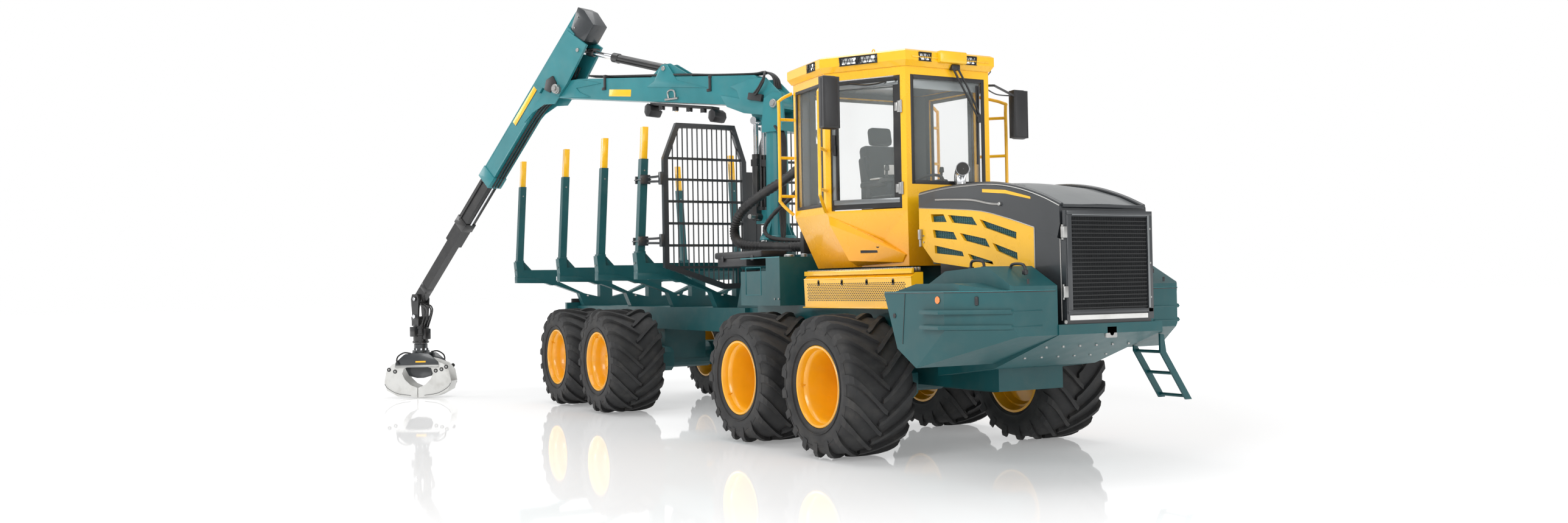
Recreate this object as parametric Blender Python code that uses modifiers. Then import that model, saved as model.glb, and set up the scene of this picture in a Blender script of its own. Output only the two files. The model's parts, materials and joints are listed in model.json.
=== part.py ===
"""Forestry forwarder: eight wheels on four bogies, a steered middle joint, a cab, a bunk and a loading crane.

Everything is modelled in the machine's own frame, with +X to the engine end, +Y to the machine's left,
+Z up, and (0, 0, 0) on the ground under the middle of the front bogies. The whole machine then hangs on
one empty, which puts the middle of its footprint at the world's origin.
"""
import math

import bmesh
import bpy
from mathutils import Matrix, Vector

# ---------------------------------------------------------------- driving dimensions, in metres
ORIGIN_SHIFT = Vector((3.026, 0.8357, 0.0))   # from the front bogies' middle to the footprint's middle
FIT = 0.0003                              # gap between pieces that touch

TYRE_RADIUS = 0.655
TYRE_WIDTH = 0.70
TYRE_FACETS = 24
AXLE_HEIGHT = TYRE_RADIUS * math.cos(math.pi / TYRE_FACETS)      # a facet lies flat on the ground
WHEEL_MID = 1.121                         # from the machine's middle plane to a tyre's middle
RIM_RADIUS = 0.357
HUB_RADIUS = 0.15
FRONT_DISC_OUT = 0.97                     # outer face of a front wheel's disc, from the middle plane
REAR_DISC_OUT = 1.22
DISC_THICKNESS = 0.03
FRONT_WHEEL_GAP = 1.532                   # between the axles of one front bogie
REAR_WHEEL_GAP = 1.500
REAR_BOGIE_X = -5.346
BOGIE_IN, BOGIE_OUT = 0.47, 0.735         # a bogie beam's two faces, from the middle plane
BOGIE_HEIGHT = 0.30
AXLE_TUBE_RADIUS = 0.17

JOINT_X = -1.95                           # the steering pin
DECK_TOP = 1.36
DECK_HALF_WIDTH = 0.74
NOSE_X = 3.0
BUMPER_TOP = 1.22
BELLY_HALF_WIDTH = 0.56
HOOD_HALF_WIDTH = 0.47
PANEL_THICKNESS = 0.025
FRONT_BOX_OUT = 1.36                      # outer face of a front stowage box, from the middle plane
FRONT_BOX_FACE_OUT = 1.00                 # outer end of its front face
FRONT_BOX_NOSE = 0.41                     # how far back its slanted corner reaches
FRONT_BOX_REAR_X = 1.75
FRONT_BOX_RIGHT_X, FRONT_BOX_LEFT_X = 2.99, 2.75
FRONT_BOX_LEFT_RISE = 0.08                # the left box's bottom lies that much higher
LADDER_X = (2.245, 2.58)
LADDER_PLATE = 0.02
LADDER_HINGE, LADDER_FOOT = (1.0, 0.93), (1.30, 0.50)           # (y, z)
LADDER_ROOF_SLOPE = (1.16 - 0.96) / (FRONT_BOX_LEFT_X - 2.19)   # the left box's bottom over the ladder
LADDER_ROOF_Z = 0.96 + (LADDER_X[0] - 2.19) * LADDER_ROOF_SLOPE
HOOD_REAR_X = 1.03

CAB_FLOOR_Z, CAB_BELT_Z, CAB_TOP_Z = 1.73, 2.25, 3.60
CAB_WALL = 0.05
CAB_PLAN = [(0.88, 0.49), (0.15, 0.93), (-0.60, 0.84), (-0.76, 0.62)]       # A, B, C and D pillars, left
CAB_FLOOR_PLAN = [(0.86, 0.47), (0.34, 0.66), (-0.50, 0.64), (-0.60, 0.48)]
ROOF_TOP_Z = 3.754
ROOF_OVERHANG = 0.055
WINDOW_LOW, WINDOW_HIGH = 2.32, 3.52
WINDSHIELD_LOW = 2.50
GLASS = 0.012

FRAME_LOW, FRAME_TOP = 1.02, 1.31         # the rear frame's box beam
FRAME_HALF_WIDTH = 0.38
FRAME_END_X = -8.15
BUNK_X = [-7.92, -6.08, -4.67, -3.41]
BUNK_TOP = 1.86
BUNK_THICKNESS = 0.12
STAKE_FOOT_Y, STAKE_HEAD_Y = 1.36, 1.285
STAKE_FOOT_Z, STAKE_SHOULDER_Z, STAKE_TIP_Z = 1.76, 3.10, 3.48
STAKE_SIZE = 0.09
HEADBOARD_X = -3.12
HEADBOARD_TUBE = 0.06

PILLAR_X = -2.45
CRANE_SLEW = math.radians(203.0)          # where the crane points, from +X
CRANE_BASE_TOP = 2.02
PILLAR_RADIUS = 0.14
BOOM_ROOT = (-0.10, 3.68)                 # crane points are (reach, height)
BOOM_TIP = (3.556, 4.238)
BOOM_HALF_WIDTH = 0.105
FORK_IN, FORK_OUT = 0.12, 0.155           # a fork's two plates, from the crane's middle plane
LIFT_FOOT = (0.25, 2.38)
LIFT_EYE = (0.25, 3.52)
LIFT_SIDE = 0.075                         # each lift cylinder, from the crane's middle plane
STICK_CYL_FOOT = (1.677, 4.30)
STICK_CYL_EYE = (3.156, 4.709)
STICK_TOP = (3.11, 5.175)
CRANE_TIP = (6.75, 1.46)
STICK_LENGTH = 2.89
STICK_HEIGHT, STICK_WIDTH, STICK_WALL = 0.25, 0.21, 0.024
TELE_WALL = 0.022
TELE_OUT_1, TELE_IN_1 = 1.18, 0.90        # shown and hidden length of the first extension
TELE_OUT_2, TELE_IN_2 = 1.13, 0.80
GRAPPLE_YAW = math.radians(37.0)          # jaws' opening direction, from the crane's reach
GRAPPLE_HALF = 0.485
JAW_HALF_DEPTH = 0.20
JAW_PIN = (0.15, 0.50)                    # side and height of a jaw's pin
ROTATOR_TOP, ROTATOR_LOW = 1.00, 0.66

TEAL = (0.010, 0.105, 0.110, 1)
TURQUOISE = (0.12, 0.42, 0.50, 1)
YELLOW = (1.0, 0.60, 0.0, 1)
CHARCOAL = (0.035, 0.04, 0.045, 1)
BLACK = (0.012, 0.012, 0.013, 1)
RUBBER = (0.025, 0.025, 0.027, 1)
CHROME = (0.75, 0.76, 0.78, 1)
OFF_WHITE = (0.70, 0.68, 0.62, 1)
GLASS_TINT = (0.55, 0.62, 0.62, 1)
CLOTH = (0.05, 0.055, 0.065, 1)


# ---------------------------------------------------------------- scene and helpers
for old in list(bpy.data.objects):
    bpy.data.objects.remove(old, do_unlink=True)

scene = bpy.context.scene
MACHINE = bpy.data.collections.new("forestry_forwarder")
CUTTERS = bpy.data.collections.new("cutters")
scene.collection.children.link(MACHINE)
scene.collection.children.link(CUTTERS)


def empty(name, location, parent=None, turn=0.0):
    """An empty that carries the pieces of one body; its location is in its parent's frame."""
    holder = bpy.data.objects.new(name, None)
    MACHINE.objects.link(holder)
    holder.location = location
    holder.rotation_euler = (0, 0, turn)
    holder.parent = parent
    return holder


def material(name, colour, roughness=0.5, metallic=0.0):
    """A Principled material of one colour."""
    made = bpy.data.materials.new(name)
    made.use_nodes = True
    shader = made.node_tree.nodes["Principled BSDF"]
    shader.inputs["Base Color"].default_value = colour
    shader.inputs["Roughness"].default_value = roughness
    shader.inputs["Metallic"].default_value = metallic
    return made


def loose(name, mesh):
    """An object in the cutters' collection, hidden from renders and drawn as wire."""
    piece = bpy.data.objects.new(name, mesh)
    CUTTERS.objects.link(piece)
    piece.hide_render = True
    piece.display_type = 'WIRE'
    return piece


def from_bmesh(cage):
    mesh = bpy.data.meshes.new("shape")
    cage.to_mesh(mesh)
    cage.free()
    return loose("shape", mesh)


def box(low, high):
    """A box between two corners."""
    low, high = Vector(low), Vector(high)
    cage = bmesh.new()
    bmesh.ops.create_cube(cage, size=1.0)
    bmesh.ops.scale(cage, vec=high - low, verts=cage.verts)
    bmesh.ops.translate(cage, vec=(low + high) / 2, verts=cage.verts)
    return from_bmesh(cage)


def drum(start, end, radius, end_radius=None, sides=20):
    """A cylinder or cone between two points."""
    start, end = Vector(start), Vector(end)
    cage = bmesh.new()
    bmesh.ops.create_cone(cage, cap_ends=True, segments=sides, radius1=radius,
                          radius2=radius if end_radius is None else end_radius, depth=(end - start).length)
    turn = (end - start).to_track_quat('Z', 'Y').to_matrix().to_4x4()
    bmesh.ops.transform(cage, matrix=Matrix.Translation((start + end) / 2) @ turn, verts=cage.verts)
    return from_bmesh(cage)


def curve_mesh(curve, weld=1e-5):
    """The closed mesh of a curve, with its caps welded on."""
    guide = bpy.data.objects.new("guide", curve)
    CUTTERS.objects.link(guide)
    evaluated = guide.evaluated_get(bpy.context.evaluated_depsgraph_get())
    mesh = bpy.data.meshes.new_from_object(evaluated)
    bpy.data.objects.remove(guide, do_unlink=True)
    cage = bmesh.new()
    cage.from_mesh(mesh)
    bmesh.ops.remove_doubles(cage, verts=cage.verts, dist=weld)
    bmesh.ops.recalc_face_normals(cage, faces=cage.faces)
    cage.to_mesh(mesh)
    cage.free()
    return mesh


PLANES = {
    'Z': Matrix.Identity(3),
    'Y': Matrix(((1, 0, 0), (0, 0, -1), (0, 1, 0))),
    'X': Matrix(((0, 0, 1), (1, 0, 0), (0, 1, 0))),
}


def plate(outline, across, low, high):
    """A flat outline with thickness: (x, z) across Y, (y, z) across X or (x, y) across Z."""
    curve = bpy.data.curves.new("outline", 'CURVE')
    curve.dimensions = '2D'
    curve.fill_mode = 'BOTH'
    curve.extrude = (high - low) / 2
    spline = curve.splines.new('POLY')
    spline.points.add(len(outline) - 1)
    for point, place in zip(spline.points, outline):
        point.co = (place[0], place[1], 0, 1)
    spline.use_cyclic_u = True
    mesh = curve_mesh(curve)
    turn = PLANES[across].to_4x4()
    middle = {'X': (1, 0, 0), 'Y': (0, 1, 0), 'Z': (0, 0, 1)}[across]
    mesh.transform(Matrix.Translation(Vector(middle) * (low + high) / 2) @ turn)
    return loose("shape", mesh)


def pipe(points, radius, closed=False, resolution=1):
    """A round tube along points."""
    curve = bpy.data.curves.new("route", 'CURVE')
    curve.dimensions = '3D'
    curve.bevel_depth = radius
    curve.bevel_resolution = resolution
    curve.use_fill_caps = True
    spline = curve.splines.new('POLY')
    spline.points.add(len(points) - 1)
    for point, place in zip(spline.points, points):
        point.co = (*place, 1)
    spline.use_cyclic_u = closed
    return loose("shape", curve_mesh(curve))


def turned(profile, steps=TYRE_FACETS):
    """A solid turned about the Y axis; the profile is (radius, y) from one end of the axis to the other."""
    mesh = bpy.data.meshes.new("profile")
    mesh.from_pydata([(radius, y, 0) for radius, y in profile], [(i, i + 1) for i in range(len(profile) - 1)], [])
    piece = loose("shape", mesh)
    screw = piece.modifiers.new("turn", 'SCREW')
    screw.axis = 'Y'
    screw.steps = screw.render_steps = steps
    screw.use_merge_vertices = True
    screw.merge_threshold = 1e-5
    settle(piece)
    cage = bmesh.new()
    cage.from_mesh(piece.data)
    bmesh.ops.recalc_face_normals(cage, faces=cage.faces)
    cage.to_mesh(piece.data)
    cage.free()
    return piece


def settle(piece):
    """Turns an object's modifiers into its mesh."""
    evaluated = piece.evaluated_get(bpy.context.evaluated_depsgraph_get())
    piece.data = bpy.data.meshes.new_from_object(evaluated)
    piece.modifiers.clear()
    return piece


def moved(piece, offset=(0, 0, 0), turn=None):
    """Moves, and first turns, a shape's mesh."""
    turn = turn or Matrix.Identity(4)
    piece.data.transform(Matrix.Translation(Vector(offset)) @ turn)
    return piece


def combine(base, adds=(), cuts=()):
    """One shape from a base, the shapes added to it, and the shapes then cut from it."""
    for operation, others in (('UNION', adds), ('DIFFERENCE', cuts)):
        for other in others:
            boolean = base.modifiers.new("join", 'BOOLEAN')
            boolean.operation = operation
            boolean.solver = 'EXACT'
            boolean.object = other
            settle(base)
            bpy.data.objects.remove(other, do_unlink=True)
    cage = bmesh.new()
    cage.from_mesh(base.data)
    bmesh.ops.remove_doubles(cage, verts=cage.verts, dist=2e-6)
    bmesh.ops.dissolve_limit(cage, angle_limit=math.radians(0.5), verts=cage.verts, edges=cage.edges)
    bmesh.ops.triangulate(cage, faces=cage.faces)
    cage.to_mesh(base.data)
    cage.free()
    return base


def node(name, shape, body, finish, smooth=False):
    """Names a shape, gives it its finish and hangs it on its body's empty."""
    shape.name = name
    shape.data.name = name
    CUTTERS.objects.unlink(shape)
    MACHINE.objects.link(shape)
    shape.hide_render = False
    shape.display_type = 'TEXTURED'
    shape.data.transform(Matrix.Translation(-PIVOTS[body]))
    shape.parent = BODIES[body]
    shape.data.materials.clear()
    shape.data.materials.append(finish)
    if smooth:
        shape.data.shade_smooth()
        shape.data.set_sharp_from_angle(angle=math.radians(35))
    return shape


def mirrored(shape):
    """A copy of a shape on the machine's other side."""
    mesh = shape.data.copy()
    mesh.transform(Matrix.Scale(-1, 4, (0, 1, 0)))
    mesh.flip_normals()
    return loose("shape", mesh)


# ---------------------------------------------------------------- bodies
MACHINE_EMPTY = empty("machine", ORIGIN_SHIFT)
BODIES = {}
PIVOTS = {}


def body(name, pivot, parent="front", turn=0.0):
    """A body's empty on its joint's axis; the pivot is in the machine's frame, or the crane's under it."""
    pivot = Vector(pivot)
    holder = BODIES.get(parent, MACHINE_EMPTY)
    BODIES[name] = empty(name + "_pivot", pivot - PIVOTS.get(parent, Vector()), holder, turn)
    PIVOTS[name] = pivot


body("front", (0, 0, 0), None)
body("rear", (JOINT_X, 0, AXLE_HEIGHT))
BODIES["crane"] = empty("crane_pivot", Vector((PILLAR_X, 0, 0)) - PIVOTS["rear"], BODIES["rear"], CRANE_SLEW)
PIVOTS["crane"] = Vector()


def crane_body(name, pivot, parent="crane", side=0.0):
    """A crane body; the pivot is (reach, height) in the crane's plane."""
    body(name, (pivot[0], side, pivot[1]), parent)


# ---------------------------------------------------------------- finishes
PAINT_TEAL = dict(colour=TEAL, roughness=0.35)
PAINT_YELLOW = dict(colour=YELLOW, roughness=0.35)


def finish(name, **settings):
    return material(name, **settings)


# ---------------------------------------------------------------- wheels and bogies
def wheel_shape(disc_out):
    """Tyre and dished rim as one turned solid, about the Y axis, with y as a distance out from the middle."""
    inner, outer = WHEEL_MID - TYRE_WIDTH / 2, WHEEL_MID + TYRE_WIDTH / 2
    disc_in = disc_out - DISC_THICKNESS
    shoulder = 0.07
    bead = RIM_RADIUS + 0.02
    profile = [
        (0, disc_out + 0.05), (HUB_RADIUS - 0.02, disc_out + 0.05), (HUB_RADIUS - 0.02, disc_out),
        (RIM_RADIUS - 0.05, disc_out), (RIM_RADIUS - 0.02, outer - 0.03), (RIM_RADIUS, outer - 0.02),
        (bead, outer - 0.012), (TYRE_RADIUS - 0.16, outer), (TYRE_RADIUS - shoulder / 2, outer - 0.015),
        (TYRE_RADIUS, outer - shoulder), (TYRE_RADIUS, inner + shoulder), (TYRE_RADIUS - shoulder / 2, inner + 0.015),
        (TYRE_RADIUS - 0.16, inner), (bead, inner + 0.012), (RIM_RADIUS - 0.02, inner + 0.03),
        (RIM_RADIUS - 0.05, disc_in), (0, disc_in),
    ]
    return turned([(radius, y) for radius, y in profile])


def wheel(name, x, side, disc_out, parent):
    body(name, (x, side * WHEEL_MID, AXLE_HEIGHT), parent)
    shape = wheel_shape(disc_out)
    if side < 0:
        shape = mirrored_and_gone(shape)
    moved(shape, (x, 0, AXLE_HEIGHT), Matrix.Rotation(math.pi / TYRE_FACETS, 4, 'Y'))
    node(name, shape, name, finish(name, colour=RUBBER, roughness=0.8), smooth=True)


def mirrored_and_gone(shape):
    """The other side's copy of a shape, in its place."""
    other = mirrored(shape)
    bpy.data.objects.remove(shape, do_unlink=True)
    return other


def bogie(name, middle_x, gap, side, disc_out, parent):
    """A bogie beam with its two hub stubs and the boss that sits on the axle tube's end."""
    half = gap / 2
    low, high = AXLE_HEIGHT - BOGIE_HEIGHT / 2, AXLE_HEIGHT + BOGIE_HEIGHT / 2
    end = 0.20
    outline = [(-half - end, AXLE_HEIGHT - 0.09), (-half - end + 0.08, low), (half + end - 0.08, low),
               (half + end, AXLE_HEIGHT - 0.09), (half + end, AXLE_HEIGHT + 0.09), (half + end - 0.08, high),
               (0.25, high + 0.02), (-0.25, high + 0.02), (-half - end + 0.08, high),
               (-half - end, AXLE_HEIGHT + 0.09)]
    beam = plate([(middle_x + x, z) for x, z in outline], 'Y', BOGIE_IN, BOGIE_OUT)
    stubs = [drum((middle_x + x, BOGIE_OUT - 0.05, AXLE_HEIGHT),
                  (middle_x + x, disc_out - DISC_THICKNESS - FIT, AXLE_HEIGHT), HUB_RADIUS) for x in (-half, half)]
    shape = combine(beam, stubs)
    if side < 0:
        shape = mirrored_and_gone(shape)
    node(name, shape, parent, finish(name, **PAINT_TEAL))


SIDES = (("left", 1), ("right", -1))
for side_name, side in SIDES:
    for end_name, middle, gap, disc, holder in (
            ("front", 0.0, FRONT_WHEEL_GAP, FRONT_DISC_OUT, "front"),
            ("rear", REAR_BOGIE_X, REAR_WHEEL_GAP, REAR_DISC_OUT, "rear")):
        bogie(f"{end_name}_bogie_{side_name}", middle, gap, side, disc, holder)
        for place, x in (("leading", middle + gap / 2), ("trailing", middle - gap / 2)):
            wheel(f"{end_name}_{place}_wheel_{side_name}", x, side, disc, holder)


# ---------------------------------------------------------------- front frame, engine and hood
def front_frame():
    """Deck, keel, axle tube, belly pan with bumper, and the fork of the steering joint."""
    deck = box((-1.62, -DECK_HALF_WIDTH, 1.06), (1.60, DECK_HALF_WIDTH, DECK_TOP))
    keel = box((-1.55, -0.36, 0.62), (2.0, 0.36, 1.10))
    axle = drum((0, -BOGIE_IN + FIT, AXLE_HEIGHT), (0, BOGIE_IN - FIT, AXLE_HEIGHT), AXLE_TUBE_RADIUS)
    belly = plate([(1.4, 0.74), (2.2, 0.84), (NOSE_X, 1.14), (NOSE_X, BUMPER_TOP), (1.4, BUMPER_TOP)], 'Y',
                  -BELLY_HALF_WIDTH, BELLY_HALF_WIDTH)
    fork_top = plate(rounded_tongue(JOINT_X, -1.5, 0.17), 'Z', 1.02, 1.12)
    fork_low = plate(rounded_tongue(JOINT_X, -1.5, 0.17), 'Z', 0.56, 0.66)
    plinth = box((-0.45, -0.52, 1.30), (0.72, 0.52, CAB_FLOOR_Z - FIT))
    shape = combine(deck, [keel, axle, belly, fork_top, fork_low, plinth])
    node("front_frame", shape, "front", finish("front_frame", **PAINT_TEAL))


def rounded_tongue(end_x, root_x, half):
    """A flat tongue with a round end about end_x."""
    direction = 1 if root_x > end_x else -1
    arc = [(end_x - direction * half * math.cos(math.radians(a)), half * math.sin(math.radians(a)))
           for a in range(-90, 91, 30)]
    outline = arc + [(root_x, half), (root_x, -half)]
    return outline if direction < 0 else outline[::-1]


HOOD_LINE = [(1.03, 2.376), (1.384, 2.402), (1.741, 2.405), (2.078, 2.393), (2.397, 2.342), (2.699, 2.254),
             (2.93, 2.160)]
PANEL_LINE = [(1.03, 2.262), (1.50, 2.225), (1.944, 2.181), (2.30, 2.10), (2.629, 2.008)]
COWL_LINE = [(2.629, 2.008), (2.90, 1.912)]
HOOD_WALL = 0.03
GRILLE_BACK_X = 2.965


def hood():
    """The hood lid: a bent top skin with side skirts down to the yellow panels and a nose behind the grille."""
    nose = (2.935, 2.02)
    outline = HOOD_LINE + [nose] + COWL_LINE[:0:-1] + PANEL_LINE[::-1]
    outer = plate(outline, 'Y', -HOOD_HALF_WIDTH, HOOD_HALF_WIDTH)
    inner_line = [(x, z - HOOD_WALL) for x, z in HOOD_LINE]
    inner_line[0] = (HOOD_REAR_X + HOOD_WALL, inner_line[0][1])
    inner_line[-1] = (2.93 - HOOD_WALL, inner_line[-1][1])
    hollow = plate(inner_line + [(2.93 - HOOD_WALL, 1.7), (HOOD_REAR_X + HOOD_WALL, 1.7)], 'Y',
                   -HOOD_HALF_WIDTH + HOOD_WALL, HOOD_HALF_WIDTH - HOOD_WALL)
    node("hood", combine(outer, cuts=[hollow]), "hood", finish("hood", colour=CHARCOAL, roughness=0.4))


VENTS = (                                   # corners of each slanted vent, side on
    ((1.213, 2.191), (1.404, 2.180), (1.451, 2.108), (1.227, 2.119)),
    ((1.469, 2.170), (1.819, 2.133), (1.885, 2.057), (1.532, 2.098)),
    ((1.917, 2.109), (2.402, 1.976), (2.400, 1.917), (1.985, 2.033)),
    ((1.239, 2.048), (1.546, 2.014), (1.598, 1.943), (1.257, 1.976)),
    ((1.636, 2.002), (1.997, 1.937), (2.055, 1.859), (1.703, 1.933)),
    ((2.086, 1.899), (2.408, 1.806), (2.414, 1.740), (2.143, 1.828)),
    ((1.261, 1.906), (1.668, 1.837), (1.692, 1.793), (1.265, 1.835)),
    ((1.745, 1.817), (2.080, 1.742), (2.095, 1.712), (1.785, 1.768)),
)


def side_panel(name, side):
    """A yellow engine side panel with its slanted vents cut through."""
    line = [(x, z - FIT) for x, z in PANEL_LINE]
    bottom = [(2.629, 1.54), (1.968, 1.672), (1.248, 1.753), (1.03, 1.95)]
    shape = plate(line + bottom, 'Y', HOOD_HALF_WIDTH - PANEL_THICKNESS, HOOD_HALF_WIDTH)
    cuts = [plate(vent, 'Y', HOOD_HALF_WIDTH - 0.1, HOOD_HALF_WIDTH + 0.1) for vent in VENTS]
    combine(shape, cuts=cuts)
    if side < 0:
        shape = mirrored_and_gone(shape)
    node(name, shape, "front", finish(name, **PAINT_YELLOW))


def grille():
    """The front grille door: a frame with a thin mesh plate in it."""
    low, high = 1.245, 2.125
    frame = box((GRILLE_BACK_X, -HOOD_HALF_WIDTH, low), (2.997, HOOD_HALF_WIDTH, 1.88))
    head = box((GRILLE_BACK_X, -HOOD_HALF_WIDTH, 1.87), (2.997, HOOD_HALF_WIDTH, high))
    recess = box((2.985, -HOOD_HALF_WIDTH + 0.055, low + 0.05), (3.1, HOOD_HALF_WIDTH - 0.055, high - 0.05))
    node("grille_door", combine(frame, [head], [recess]), "grille_door",
         finish("grille_door", colour=TEAL, roughness=0.4))


def engine():
    """The engine with its radiator cowl as one plain block on the deck."""
    inside = HOOD_HALF_WIDTH - PANEL_THICKNESS - FIT
    front = GRILLE_BACK_X - FIT
    low = BUMPER_TOP + FIT
    (start_x, start_z), (end_x, end_z) = COWL_LINE
    cowl = plate([(start_x + FIT, low), (front, low), (front, end_z - 0.03), (end_x, end_z - FIT),
                  (start_x + FIT, start_z - FIT)], 'Y', -HOOD_HALF_WIDTH, HOOD_HALF_WIDTH)
    shape = combine(box((1.20, -0.36, DECK_TOP + FIT), (2.60, 0.36, 2.05)),
                    [box((2.40, -inside, low), (2.70, inside, 1.88)), cowl])
    node("engine_block", shape, "front", finish("engine_block", colour=BLACK, roughness=0.6))


def exhaust():
    """A riser between hood and cab with its open end forward."""
    path = [(0.955, 0.07, DECK_TOP + FIT), (0.955, 0.07, 2.54), (0.975, 0.07, 2.60), (1.015, 0.07, 2.63),
            (1.06, 0.07, 2.635)]
    node("exhaust_pipe", pipe(path, 0.042, resolution=2), "front",
         finish("exhaust_pipe", colour=CHROME, roughness=0.3, metallic=1.0), smooth=True)


body("hood", (HOOD_REAR_X, 0, 2.36))
body("grille_door", (2.981, -HOOD_HALF_WIDTH - 0.012, 1.7))
front_frame()
hood()
side_panel("engine_panel_left", 1)
side_panel("engine_panel_right", -1)
grille()
engine()
exhaust()


# ---------------------------------------------------------------- front boxes, running boards, tanks, ladder
def below_plane(points, depth=0.6, reach=1.5):
    """A thick slab under the plane through three points, to cut away what lies beyond it."""
    first, second, third = (Vector(point) for point in points)
    outward = (third - first).cross(second - first).normalized()
    slab = box((-reach, -reach, 0), (reach, reach, depth))
    return moved(slab, first, outward.to_track_quat('Z', 'Y').to_matrix().to_4x4())


def front_box(name, side, front_x, rise):
    """The faceted stowage box that guards the front wheel and carries the two guard tubes."""
    outer_y, inner_y = FRONT_BOX_OUT, BELLY_HALF_WIDTH + FIT
    face_y = FRONT_BOX_FACE_OUT
    bend_x = front_x - FRONT_BOX_NOSE
    body_line = [(FRONT_BOX_REAR_X, 1.49), (1.93, 1.03 + rise), (2.19, 0.88 + rise), (front_x, 1.14 + rise / 4),
                 (front_x, 1.49)]
    shape = plate(body_line, 'Y', inner_y, outer_y)
    top = plate([(FRONT_BOX_REAR_X, 1.485), (2.15, 1.66), (front_x - 0.30, 1.69), (front_x, 1.53),
                 (front_x, 1.485)], 'Y', inner_y, 1.02)
    slope = plate([(FRONT_BOX_REAR_X, 1.488), (FRONT_BOX_REAR_X, 1.42), (front_x, 1.42), (front_x, 1.488),
                   (front_x - 0.38, 1.56), (2.1, 1.56)], 'Y', inner_y, 1.28)
    wheel_room = drum((FRONT_WHEEL_GAP / 2, 0.3, AXLE_HEIGHT), (FRONT_WHEEL_GAP / 2, 1.7, AXLE_HEIGHT),
                      TYRE_RADIUS + 0.10, sides=40)
    lean = (front_x - bend_x) / (outer_y - face_y)
    nose_cut = plate([(bend_x - 0.2 * lean, outer_y + 0.2), (front_x + 0.2 * lean, face_y - 0.2),
                      (front_x + 0.2 * lean, outer_y + 0.2)], 'Z', 0.5, 2.0)
    chine = below_plane([(bend_x, outer_y, 1.19), (2.19, outer_y, 0.88 + rise), (front_x, face_y, 1.19)])
    combine(shape, [top, slope], [wheel_room, nose_cut, chine])
    proud = outer_y + 0.045
    rails = [pipe([(bend_x - 0.28, outer_y - 0.03, z), (bend_x - 0.25, proud, z), (bend_x - 0.01, proud, z),
                   (front_x - 0.015, face_y + 0.02, z), (front_x - 0.012, 0.72, z)], 0.019)
             for z in (1.335, 1.215)]
    combine(shape, rails)
    if side < 0:
        shape = mirrored_and_gone(shape)
    node(name, shape, "front", finish(name, **PAINT_TEAL))


def running_board(name, side):
    """Tread rail on top of a folded yellow skirt."""
    inner = DECK_HALF_WIDTH + FIT
    shape = plate([(inner, 1.345), (0.86, 1.345), (0.87, 1.62), (0.82, 1.665), (inner, 1.665)], 'X', -0.40, 1.45)
    if side < 0:
        shape = mirrored_and_gone(shape)
    node(name, shape, "front", finish(name, **PAINT_YELLOW))


def tank(name, side):
    """The stepped box behind the cab on one side."""
    lower = box((-1.55, 0.28, DECK_TOP + FIT), (-0.98, 0.98, 1.72))
    upper = box((-0.99, 0.28, DECK_TOP + FIT), (-0.70, 0.98, 1.86))
    shape = combine(lower, [upper])
    if side < 0:
        shape = mirrored_and_gone(shape)
    node(name, shape, "front", finish(name, **PAINT_TEAL))


def ladder():
    """The boarding ladder that hangs from hinges under the left front box."""
    (foot_y, foot_z), (hinge_y, hinge_z) = LADDER_FOOT, LADDER_HINGE
    half = 0.035
    stringers = []
    for x in (LADDER_X[0], LADDER_X[1] - LADDER_PLATE):
        top = LADDER_ROOF_Z + (x - LADDER_X[0]) * LADDER_ROOF_SLOPE - FIT
        outline = [(hinge_y - half, top), (hinge_y - half, hinge_z), (foot_y - half, foot_z),
                   (foot_y + half, foot_z), (hinge_y + half, hinge_z), (hinge_y + 0.01, top - 0.01)]
        stringers.append(plate(outline, 'X', x, x + LADDER_PLATE))
    low_x, high_x = LADDER_X[0] + LADDER_PLATE / 2, LADDER_X[1] - LADDER_PLATE / 2
    bars = []
    for share in (0.0, 0.45, 0.93):
        y, z = hinge_y + (foot_y - hinge_y) * share, hinge_z + (foot_z - hinge_z) * share
        bars.append(pipe([(low_x, y, z), (high_x, y, z)], 0.016))
    shape = combine(stringers[0], [stringers[1]] + bars)
    node("ladder", shape, "ladder", finish("ladder", colour=TEAL, roughness=0.4))


body("ladder", ((LADDER_X[0] + LADDER_X[1]) / 2, *LADDER_HINGE))
front_box("front_box_left", 1, FRONT_BOX_LEFT_X, FRONT_BOX_LEFT_RISE)
front_box("front_box_right", -1, FRONT_BOX_RIGHT_X, 0.0)
running_board("running_board_left", 1)
running_board("running_board_right", -1)
tank("hydraulic_tank", 1)
tank("fuel_tank", -1)
ladder()


# ---------------------------------------------------------------- cab
def ring(plan, inset, z):
    """Eight corners of the cab at one height, moved in by inset."""
    left = [Vector(corner) for corner in plan]
    loop = left + [Vector((x, -y)) for x, y in reversed(left)]
    count = len(loop)
    corners = []
    for i, corner in enumerate(loop):
        before = (corner - loop[i - 1]).normalized()
        after = (loop[(i + 1) % count] - corner).normalized()
        normals = Vector((-before.y, before.x)), Vector((-after.y, after.x))
        mid = (normals[0] + normals[1]).normalized()
        corners.append((*(corner + mid * inset / mid.dot(normals[0])), z))
    return corners


def lofted(rings):
    """A closed body through rings of as many corners each, listed from bottom to top."""
    cage = bmesh.new()
    rows = [[cage.verts.new(corner) for corner in row] for row in rings]
    count = len(rows[0])
    for low, high in zip(rows, rows[1:]):
        for i in range(count):
            j = (i + 1) % count
            cage.faces.new((low[i], low[j], high[j], high[i]))
    cage.faces.new(rows[0][::-1])
    cage.faces.new(rows[-1])
    bmesh.ops.recalc_face_normals(cage, faces=cage.faces)
    return from_bmesh(cage)


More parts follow.
